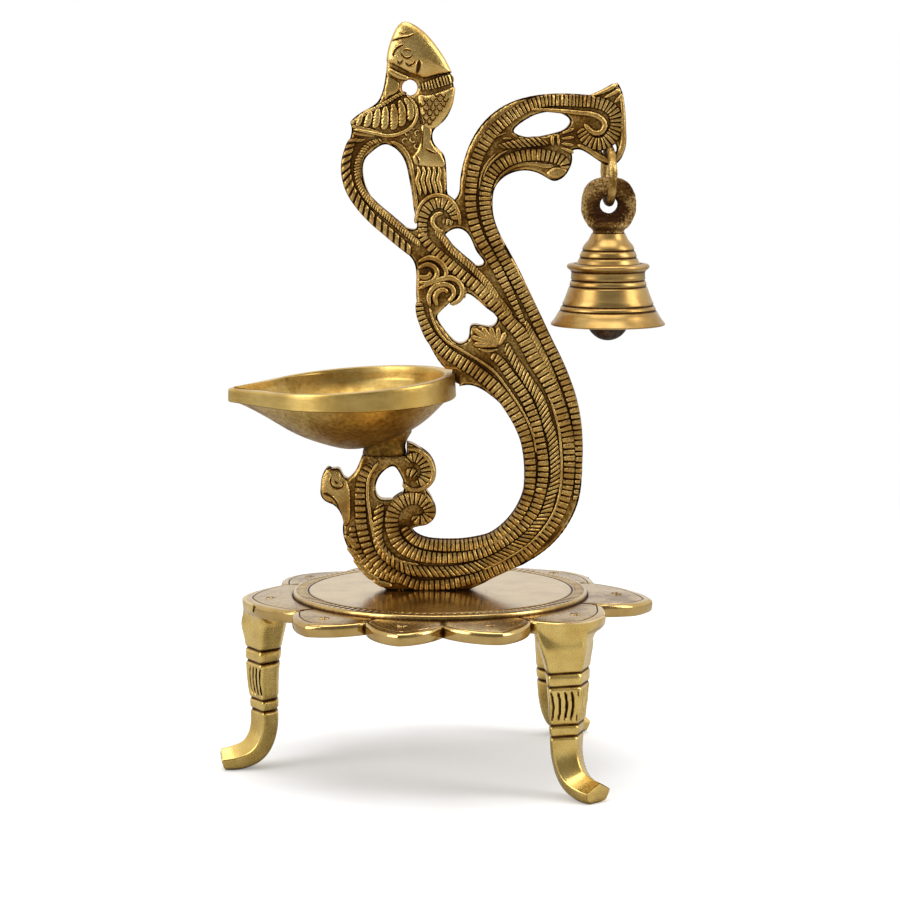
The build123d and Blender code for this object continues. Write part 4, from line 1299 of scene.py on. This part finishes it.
@dataclass
class LampBowl:
    """A round bowl drawn out to a spout, with a broad plain brim, on a brazed foot."""

    finish: BrassFinish
    centre: tuple[float, float, float] = (-23.2, 0.0, 91.5)
    radius: float = 28.0
    spout_tip: float = 3.2
    spout_reach: float = 32.8
    wall: float = 3.1
    band_low: float = 13.8
    band_high: float = 19.2
    slope: float = 2.7
    dip_left: float = 1.3
    dip_front: float = 1.6
    belly_shift: float = -1.2
    mouth_radius: float = 25.5
    foot_x: float = -15.8
    foot_z: float = 89.4
    around: int = 192
    bead_at: tuple[float, float, float] = (5.4, 0.0, 112.6)
    bead_size: tuple[float, float, float] = (2.0, 1.9, 3.2)
    belly: Sequence[Pair] = ((0, 0), (3.5, 0), (10.5, 2.2), (16.9, 5.1), (21.8, 8.7), (26.4, 13.8))
    hollow: Sequence[Pair] = ((0, 2.0), (4.0, 2.1), (10.5, 4.1), (16.0, 6.8), (20.6, 10.5), (24.4, 15.0), (25.6, 21.7))
    belly_rise: float = 0.0227
    foot_profile: Sequence[Sequence[float]] = (
        (0.0, 0.0, 0.6), (5.7, 0.0, 0.8), (6.2, 0.4, 0.7), (6.1, 1.0, 0.6), (5.9, 1.8, 0.6), (5.9, 2.7, 0.6),
        (6.1, 3.6, 0.6), (6.5, 4.5, 0.6), (7.0, 5.4, 0.55), (7.6, 6.4, 0.5), (7.6, 8.0, 0.5), (5.0, 9.0, 0.5),
        (0.0, 9.0, 0.5),
    )

    def teardrop(self, radius: float, tip: float, turns: np.ndarray) -> np.ndarray:
        """The plan's radius in each direction: a circle, its two tangents, and the rounded spout."""
        a = np.linspace(0, math.tau, 721)
        big = np.stack([radius * np.cos(a), radius * np.sin(a)], 1)
        small = np.stack([-self.spout_reach + tip * np.cos(a), tip * np.sin(a)], 1)
        directions = np.stack([np.cos(turns), np.sin(turns)], 1)
        # A hull's radius: the nearest crossing of every supporting line.
        normals = np.stack([np.cos(a), np.sin(a)], 1)
        support = np.maximum((normals @ big.T).max(1), (normals @ small.T).max(1))
        facing = directions @ normals.T
        return np.min(np.where(facing > 1e-3, support[None, :] / np.maximum(facing, 1e-3), 1e9), axis=1)

    def grid(self) -> np.ndarray:
        """The rings of the bowl, from under its middle over the brim to the middle of its floor."""
        turns = np.arange(self.around) / self.around * math.tau
        outer = self.teardrop(self.radius, self.spout_tip, turns)
        inner = self.teardrop(self.radius - self.wall, self.spout_tip - 1.7, turns)
        slope = math.tan(math.radians(self.slope))
        belly = Route(np.array(self.belly, float))
        hollow = Route(np.array(self.hollow, float))
        shift = self.belly_shift
        rows: list[np.ndarray] = []

        def ring(radius: np.ndarray | float, height: np.ndarray | float, dark: float = 0.0, moved: float = 0.0) -> None:
            """Adds one ring around the bowl's axis, moved along X."""
            r, level, shade = (value * np.ones_like(turns) for value in (radius, height, dark))
            rows.append(np.stack([moved + r * np.cos(turns), r * np.sin(turns), level, shade], 1))

        for s in np.linspace(0, belly.length, 26):
            r, z = belly.at(np.array([s]))[0]
            share = (z / self.band_low) ** 3 if z > 0 else 0.0
            spread = r + (outer - 0.25 - self.radius) * share
            ring(spread, z, 0.46 - 0.1 * share, shift * (1 - share))
        ring(outer - 0.2, self.band_low + 0.05, 0.75)
        ring(outer, self.band_low + 0.3, 0.2)
        x_out = outer * np.cos(turns)
        for share in (0.2, 0.45, 0.7, 0.88):
            top = self.band_high + slope * x_out
            ring(outer - 0.17 * share, self.band_low + (top - self.band_low) * share)
        for back, down in ((0.2, 0.32), (0.3, 0.12), (0.55, 0.0)):
            r = outer - back
            ring(r, self.band_high + slope * r * np.cos(turns) - down)
        lip = np.maximum(inner, self.offset_circle(self.mouth_radius, shift, turns))
        for share in (0.35, 0.7):
            r = (outer - 0.55) * (1 - share) + lip * share
            ring(r, self.band_high + slope * r * np.cos(turns))
        for back, down in ((-0.3, 0.0), (-0.05, 0.12), (0.05, 0.4)):
            r = lip - back
            ring(r, self.band_high + slope * r * np.cos(turns) - down)
        spans = ((17.9, 15.2, 7), (14.6, 11.0, 6), (10.0, 2.6, 13))
        levels = [z for high, low, count in spans for z in np.linspace(high, low, count)] + [2.25, 2.1]
        curve = hollow.at(np.linspace(0, hollow.length, 200))
        for z in levels:
            r_round = float(np.interp(z, curve[:, 1], curve[:, 0]))
            around = self.offset_circle(r_round, shift, turns)
            share = min(1.0, max(0.0, (z - 15.0) / 1.0))
            r = np.maximum(around, around * (1 - share) + np.maximum(inner - 0.08 * (18 - z), around) * share)
            ring(r, z, 0.3)
        ring(1.5, 2.0, 0.3, shift * 0.9)
        ring(0.0, 2.0, 0.3, shift)
        return np.stack(rows)

    @staticmethod
    def offset_circle(radius: float, shift: float, turns: np.ndarray) -> np.ndarray:
        """The distance from the origin to a circle whose middle is moved along X."""
        c = shift * np.cos(turns)
        return c + np.sqrt(np.maximum(radius**2 - (shift * np.sin(turns)) ** 2, 0))

    def foot(self) -> np.ndarray:
        """The rings of the brazed foot, whose flared top runs into the belly."""
        turns = np.arange(64) / 64 * math.tau
        belly = np.array(self.belly, float)
        rows = []
        for r, z, dark in self.foot_profile:
            wobble = 1 + 0.03 * np.sin(3 * turns + 1.0) * (r > 1)
            x = self.foot_x + r * wobble * np.cos(turns)
            y = 0.9 * r * wobble * np.sin(turns)
            away = np.hypot(x - self.centre[0] - self.belly_shift, y)
            under = self.centre[2] + np.interp(away, belly[:, 0], belly[:, 1])
            ceiling = under + 0.7 + (x - self.centre[0]) * self.belly_rise
            rows.append(np.stack([x, y, np.minimum(self.foot_z + z, ceiling), dark * np.ones_like(x)], 1))
        return np.stack(rows)

    def build(self) -> None:
        """Builds the bowl and its foot."""
        material = self.finish.make()
        grid = self.grid()
        to_front = Matrix.Rotation(math.radians(self.dip_front), 3, "X")
        tilt = to_front @ Matrix.Rotation(math.radians(-self.dip_left), 3, "Y")
        grid[:, :, :3] = grid[:, :, :3] @ np.array(tilt).T + np.array(self.centre)
        mesh = new_mesh()
        lofted(mesh, grid, poles=(True, True))
        piece("spouted_bowl", mesh, material, "root", ["lamp_bowl"], crease=32)
        mesh = new_mesh()
        lofted(mesh, self.foot(), poles=(True, True))
        bead = bmesh.ops.create_uvsphere(mesh, u_segments=32, v_segments=20, radius=MM)
        for v in bead["verts"]:
            rough = 1 + 0.07 * math.sin(v.co.z / MM * 5 + 1) + 0.05 * math.sin(v.co.x / MM * 7)
            v.co = Vector([(c + n / MM * size * rough) * MM for c, n, size in zip(self.bead_at, v.co, self.bead_size)])
            v[mesh.verts.layers.float[PATINA]] = 0.62
        piece("bowl_foot", mesh, material, "root", crease=60)


# ---------------------------------------------------------------------------------------------------------
# The bell and what it hangs by
# ---------------------------------------------------------------------------------------------------------


@dataclass
class HangingBell:
    """A turned bell with its rough loop, ring, link and clapper."""

    finishes: Finishes
    x: float = 46.9
    ring_z: float = 167.6
    ring_radius: float = 7.45
    wire: float = 1.2
    ring_turn: float = 6.0
    link_z: float = 144.8
    link_radius: float = 2.4
    link_wire: float = 0.6
    ball_z: float = 127.6
    ball_radius: float = 5.95
    eye_z: float = 142.25
    eye_radius: float = 1.45
    eye_wire: float = 0.5
    ball_rings: int = 21
    shank: Sequence[Sequence[float]] = (
        (0.0, 141.4, 0.5), (0.7, 141.3, 0.4), (0.85, 140.4, 0.3), (1.0, 138.0, 0.2), (1.4, 135.0, 0.2),
        (2.1, 133.4, 0.5),
    )
    outside: Sequence[Pair] = ((4.7, 151.6), (5.6, 149.8), (6.9, 148.2), (7.6, 146.4), (8.3, 144.4), (8.8, 143.3))
    skirt: Sequence[Pair] = (
        (10.3, 140.6), (10.4, 139.0), (10.9, 136.9), (11.9, 134.0), (13.2, 131.0), (14.6, 128.3), (15.9, 126.6),
    )
    inside: Sequence[Pair] = (
        (14.4, 126.0), (13.0, 128.3), (11.4, 131.2), (10.0, 134.6), (9.0, 138.4), (8.2, 142.2),
        (6.6, 146.0), (4.6, 148.6),
    )
    flange: Sequence[Sequence[float]] = (
        (8.95, 143.25, 0.9), (9.3, 143.2, 0.5), (10.6, 143.15, 0.0), (11.15, 143.0, 0.0), (11.45, 142.75, 0.0),
        (11.55, 142.4, 0.0), (11.4, 142.0, 0.0), (11.0, 141.6, 0.1), (10.6, 141.3, 0.5), (10.35, 141.0, 0.9),
    )
    lip: Sequence[Sequence[float]] = ((16.0, 126.45, 0.0), (15.95, 126.15, 0.0), (15.6, 126.0, 0.0), (14.8, 126.0, 0.1))
    grooves: Sequence[float] = (146.9, 144.9, 138.6, 136.9, 131.6, 130.2)

    def revolved(self, mesh: bmesh.types.BMesh, profile: np.ndarray, sides: int, poles: tuple[bool, bool]) -> None:
        """Turns a profile of radius, height and patina about the bell's axis."""
        turns = np.arange(sides) / sides * math.tau
        grid = np.zeros((len(profile), sides, 4))
        for k, (radius, height, dark) in enumerate(profile):
            across, level, shade = radius * np.sin(turns), height + 0 * turns, dark + 0 * turns
            grid[k] = np.stack([self.x + radius * np.cos(turns), across, level, shade], 1)
        lofted(mesh, grid, poles)

    def walls(self) -> np.ndarray:
        """The bell's whole profile: crown, flange, skirt and lip, then the inside to its ceiling."""
        rows: list[tuple[float, float, float]] = [(0.0, 151.6, 0.8), (3.8, 151.6, 0.8)]
        for part in (self.outside, self.skirt):
            route = Route(np.array(part, float))
            curve = route.at(np.linspace(0, route.length, 300))
            low, high = curve[:, 1].min(), curve[:, 1].max()
            heights = set(np.linspace(high, low, 14))
            cuts = [g for g in self.grooves if low + 0.3 < g < high - 0.3]
            heights = {h for h in heights if all(abs(h - g) > 0.5 for g in cuts)}
            heights |= {g + d for g in cuts for d in (0.42, 0.24, 0.1, -0.1, -0.24, -0.42)}
            for h in sorted(heights, reverse=True):
                order = np.argsort(curve[:, 1])
                radius = float(np.interp(h, curve[order, 1], curve[order, 0]))
                near = min((abs(h - g) for g in cuts), default=9.0)
                deep = 0.3 if near < 0.15 else 0.12 if near < 0.3 else 0.0
                rows.append((radius - deep, h, 0.8 if near < 0.15 else 0.4 if near < 0.3 else 0.0))
            if part is self.outside:
                rows += self.flange
        rows += self.lip
        route = Route(np.array(self.inside, float))
        rows += [(float(r), float(z), 0.35) for r, z in route.at(np.linspace(0, route.length, 18))]
        rows += [(2.0, 148.6, 0.6), (0.0, 148.6, 0.6)]
        return np.array(rows)

    def torus(
        self, mesh: bmesh.types.BMesh, radius: float, wire: float, turn: float, z: float, chance: random.Random
    ) -> None:
        """Adds a hand-bent ring: a circle of wire spun all the way round, then made a little uneven.

        Args:
            mesh: The bmesh to add to.
            radius: The ring's radius, to the middle of its wire.
            wire: The wire's radius.
            turn: How far the ring is turned about the upright axis, in degrees.
            z: The height of its middle.
            chance: The seeded source of its unevenness.
        """
        layer = mesh.verts.layers.float[PATINA]
        upright = Matrix.Translation((radius * MM, 0, 0)) @ Matrix.Rotation(math.pi / 2, 4, "X")
        circle = bmesh.ops.create_circle(mesh, segments=18, radius=wire * MM, matrix=upright)
        bmesh.ops.spin(
            mesh, geom=circle["verts"] + list({e for v in circle["verts"] for e in v.link_edges}), cent=(0, 0, 0),
            axis=(0, 0, 1), angle=math.tau, steps=80, use_merge=True,
        )
        bmesh.ops.remove_doubles(mesh, verts=mesh.verts[:], dist=1e-6)
        phases = [chance.uniform(0, math.tau) for _ in range(4)]
        for v in mesh.verts:
            along = math.atan2(v.co.y, v.co.x)
            waves = zip((0.05, 0.04, 0.03), (5, 9, 17), phases)
            dent = 1 + sum(deep * math.sin(count * along + phase) for deep, count, phase in waves)
            core = Vector((math.cos(along), math.sin(along), 0)) * radius * MM
            v.co = core + (v.co - core) * dent * 0.97
            v[layer] = max(0.0, 0.35 * math.sin(3 * along + phases[3]))
        place = Matrix.Translation((self.x * MM, 0, z * MM))
        turned = Matrix.Rotation(math.radians(turn), 4, "Z") @ Matrix.Rotation(math.pi / 2, 4, "Y")
        bmesh.ops.transform(mesh, matrix=place @ turned, verts=mesh.verts[:])

    def loop(self, node: bpy.types.Object) -> None:
        """The rough cast loop: the CAD node's shape, rounded over and left uneven by the mould."""
        mesh = new_mesh()
        mesh.from_mesh(node.data)
        bmesh.ops.remove_doubles(mesh, verts=mesh.verts[:], dist=2e-6)
        material = self.finishes.rough_cast.make()
        made = piece("rough_loop", mesh, material, "bell", ["bell_loop"], crease=60)
        remesh = made.modifiers.new("even_skin", "REMESH")
        remesh.mode, remesh.voxel_size, remesh.use_smooth_shade = "VOXEL", 0.28 * MM, True
        ease = made.modifiers.new("eased_edges", "SMOOTH")
        ease.factor, ease.iterations = 0.6, 7
        texture = bpy.data.textures.new("mould_skin", "CLOUDS")
        texture.noise_scale = 0.0016
        skin = made.modifiers.new("mould_skin", "DISPLACE")
        skin.texture, skin.strength, skin.mid_level, skin.texture_coords = texture, 0.5 * MM, 0.5, "LOCAL"

    def build(self, nodes: dict[str, bpy.types.Object]) -> None:
        """Builds the ring, the loop, the bell, the link and the clapper.

        Args:
            nodes: The CAD nodes by name.
        """
        chance = random.Random(5)
        mesh = new_mesh()
        self.torus(mesh, self.ring_radius, self.wire, self.ring_turn, self.ring_z, chance)
        piece("hand_bent_ring", mesh, self.finishes.ring.make(), "ring", ["bell_ring"], crease=80)
        self.loop(nodes["bell_loop"])
        mesh = new_mesh()
        self.revolved(mesh, self.walls(), 128, (True, True))
        piece("turned_bell", mesh, self.finishes.turned.make(), "bell", ["bell_dome"], crease=42)
        mesh = new_mesh()
        self.torus(mesh, self.link_radius, self.link_wire, 0.0, self.link_z, chance)
        piece("clapper_wire", mesh, self.finishes.ring.make(), "link", ["clapper_link"], crease=80)
        ball_metal = self.finishes.blackened.make()
        mesh = new_mesh()
        profile = list(self.shank)
        for k in range(1, self.ball_rings + 1):
            a = math.radians(24 + 156 * k / self.ball_rings)
            radius = self.ball_radius * math.sin(a) if k < self.ball_rings else 0.0
            profile.append((radius, self.ball_z + self.ball_radius * math.cos(a), 0.25))
        self.revolved(mesh, np.array(profile), 48, (True, True))
        piece("clapper_ball", mesh, ball_metal, "clapper", ["clapper"], crease=60)
        eye = new_mesh()
        self.torus(eye, self.eye_radius, self.eye_wire, 0.0, self.eye_z, chance)
        middle = (self.x * MM, 0, self.eye_z * MM)
        bmesh.ops.rotate(eye, verts=eye.verts[:], cent=middle, matrix=Matrix.Rotation(math.pi / 2, 3, "Z"))
        piece("clapper_eye", eye, ball_metal, "clapper", crease=80)


# ---------------------------------------------------------------------------------------------------------
# The room, and the order of work
# ---------------------------------------------------------------------------------------------------------


def joined(tree: bpy.types.NodeTree, *pairs: tuple[bpy.types.NodeSocket, bpy.types.NodeSocket]) -> None:
    """Links each pair of sockets."""
    for start, end in pairs:
        tree.links.new(start, end)


def ranged(tree: bpy.types.NodeTree, low: float, high: float, to_low: float, to_high: float) -> bpy.types.Node:
    """A smooth Map Range node."""
    made = tree.nodes.new("ShaderNodeMapRange")
    made.interpolation_type = "SMOOTHSTEP"
    for key, value in zip(("From Min", "From Max", "To Min", "To Max"), (low, high, to_low, to_high)):
        made.inputs[key].default_value = value
    return made


@dataclass
class Studio:
    """A pale floor, a light room, soft lights and the camera."""

    camera_at: tuple[float, float, float] = (2.76, -850.0, 202.3)
    camera_tilt: float = 82.49
    lens: float = 121.5
    floor_grey: float = 0.88
    floor_mirrored: float = 0.45
    aim: tuple[float, float, float] = (0.0, 0.0, 0.1)

    def floor(self) -> None:
        """A plain pale floor."""
        mesh = bmesh.new()
        bmesh.ops.create_grid(mesh, x_segments=2, y_segments=2, size=6.0)
        data = bpy.data.meshes.new("floor")
        mesh.to_mesh(data)
        mesh.free()
        made = placed("floor", data)
        material = bpy.data.materials.new("pale_floor")
        material.use_nodes = True
        tree = material.node_tree
        tree.nodes.clear()
        cloth = tree.nodes.new("ShaderNodeBsdfDiffuse")
        cloth.inputs["Color"].default_value = (self.floor_grey,) * 3 + (1,)
        glow = tree.nodes.new("ShaderNodeEmission")
        far = ranged(tree, 0.16, 0.6, 0.25, 1.0)
        distance = tree.nodes.new("ShaderNodeVectorMath")
        distance.operation = "LENGTH"
        mixed = tree.nodes.new("ShaderNodeMixShader")
        seen = tree.nodes.new("ShaderNodeMixShader")
        rays = tree.nodes.new("ShaderNodeLightPath")
        plain = tree.nodes.new("ShaderNodeBsdfDiffuse")
        plain.inputs["Color"].default_value = (self.floor_mirrored,) * 3 + (1,)
        place = tree.nodes.new("ShaderNodeTexCoord")
        output = tree.nodes.new("ShaderNodeOutputMaterial")
        joined(
            tree,
            (place.outputs["Object"], distance.inputs[0]),
            (distance.outputs["Value"], far.inputs["Value"]),
            (far.outputs["Result"], mixed.inputs[0]),
            (cloth.outputs[0], mixed.inputs[1]),
            (glow.outputs[0], mixed.inputs[2]),
            (rays.outputs["Is Camera Ray"], seen.inputs[0]),
            (plain.outputs[0], seen.inputs[1]),
            (mixed.outputs[0], seen.inputs[2]),
            (seen.outputs[0], output.inputs["Surface"]),
        )
        data.materials.append(material)

    def room(self) -> None:
        """A white room, darker where the camera stands so that the metal has something dark to mirror."""
        world = bpy.data.worlds.new("light_room")
        bpy.context.scene.world = world
        world.use_nodes = True
        tree = world.node_tree
        tree.nodes.clear()
        place = tree.nodes.new("ShaderNodeTexCoord")
        parts = tree.nodes.new("ShaderNodeSeparateXYZ")
        ramp = ranged(tree, -0.9, 0.35, 0.24, 1.0)
        rays = tree.nodes.new("ShaderNodeLightPath")
        strength = tree.nodes.new("ShaderNodeMix")
        background = tree.nodes.new("ShaderNodeBackground")
        background.inputs["Color"].default_value = (1, 1, 1, 1)
        output = tree.nodes.new("ShaderNodeOutputWorld")
        strength.inputs[3].default_value = 1.0
        joined(
            tree,
            (place.outputs["Generated"], parts.inputs[0]),
            (parts.outputs["Y"], ramp.inputs["Value"]),
            (rays.outputs["Is Camera Ray"], strength.inputs[0]),
            (ramp.outputs["Result"], strength.inputs[2]),
            (strength.outputs[0], background.inputs["Strength"]),
            (background.outputs[0], output.inputs["Surface"]),
        )

    def light(self, name: str, at: tuple[float, float, float], size: Pair, power: float) -> None:
        """A soft box aimed at the lamp's middle, with its place and size in metres."""
        data = bpy.data.lights.new(name, "AREA")
        data.shape, data.size, data.size_y, data.energy = "RECTANGLE", size[0], size[1], power
        made = placed(name, data)
        made.location = at
        made.rotation_euler = (Vector(self.aim) - Vector(at)).to_track_quat("-Z", "Y").to_euler()

    def camera(self) -> None:
        """The camera, a little above the plate and level with the bird."""
        data = bpy.data.cameras.new("camera")
        data.lens, data.sensor_width = self.lens, 36.0
        data.clip_start, data.clip_end = 0.01, 50.0
        made = placed("camera", data)
        made.location = [c * MM for c in self.camera_at]
        made.rotation_euler = (math.radians(self.camera_tilt), 0, 0)
        bpy.context.scene.camera = made

    def build(self) -> None:
        """Sets the whole studio."""
        self.floor()
        self.room()
        self.light("left_box", (-0.75, -0.45, 0.45), (0.5, 0.7), 5.0)
        self.light("right_box", (0.8, -0.25, 0.5), (0.35, 0.7), 4.0)
        self.light("top_box", (0.0, -0.05, 1.0), (0.8, 0.8), 7.0)
        self.camera()
        bpy.context.scene.view_settings.view_transform = "Standard"


def corners(box: object) -> list[list[float]]:
    """A box as plain lists of numbers."""
    return [[float(n) for n in corner] for corner in box]


def main() -> None:
    """Loads the frame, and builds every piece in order."""
    logging.basicConfig(level=logging.INFO, format="%(name)s %(message)s")
    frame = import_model()
    nodes = frame["nodes"]
    finishes = Finishes()
    Studio().build()
    log.info("plate")
    rim = LotusPlate(finishes.disc).build(nodes["base_plate"])
    leg_metal = finishes.leg.make()
    for name, direction in (("leg_left", 183), ("leg_front", 314), ("leg_rear", 48)):
        BentLeg(name, direction, leg_metal, rim).build()
    log.info("scroll")
    BirdScroll(finishes).build(nodes["peacock_scroll"])
    log.info("bowl")
    LampBowl(finishes.bowl).build()
    log.info("bell")
    HangingBell(finishes).build(nodes)
    hardware = finishes.hardware.make()
    for name in ("scroll_screws", "scroll_washers"):
        nodes[name].data.materials.clear()
        nodes[name].data.materials.append(hardware)


if __name__ == "__main__":
    main()
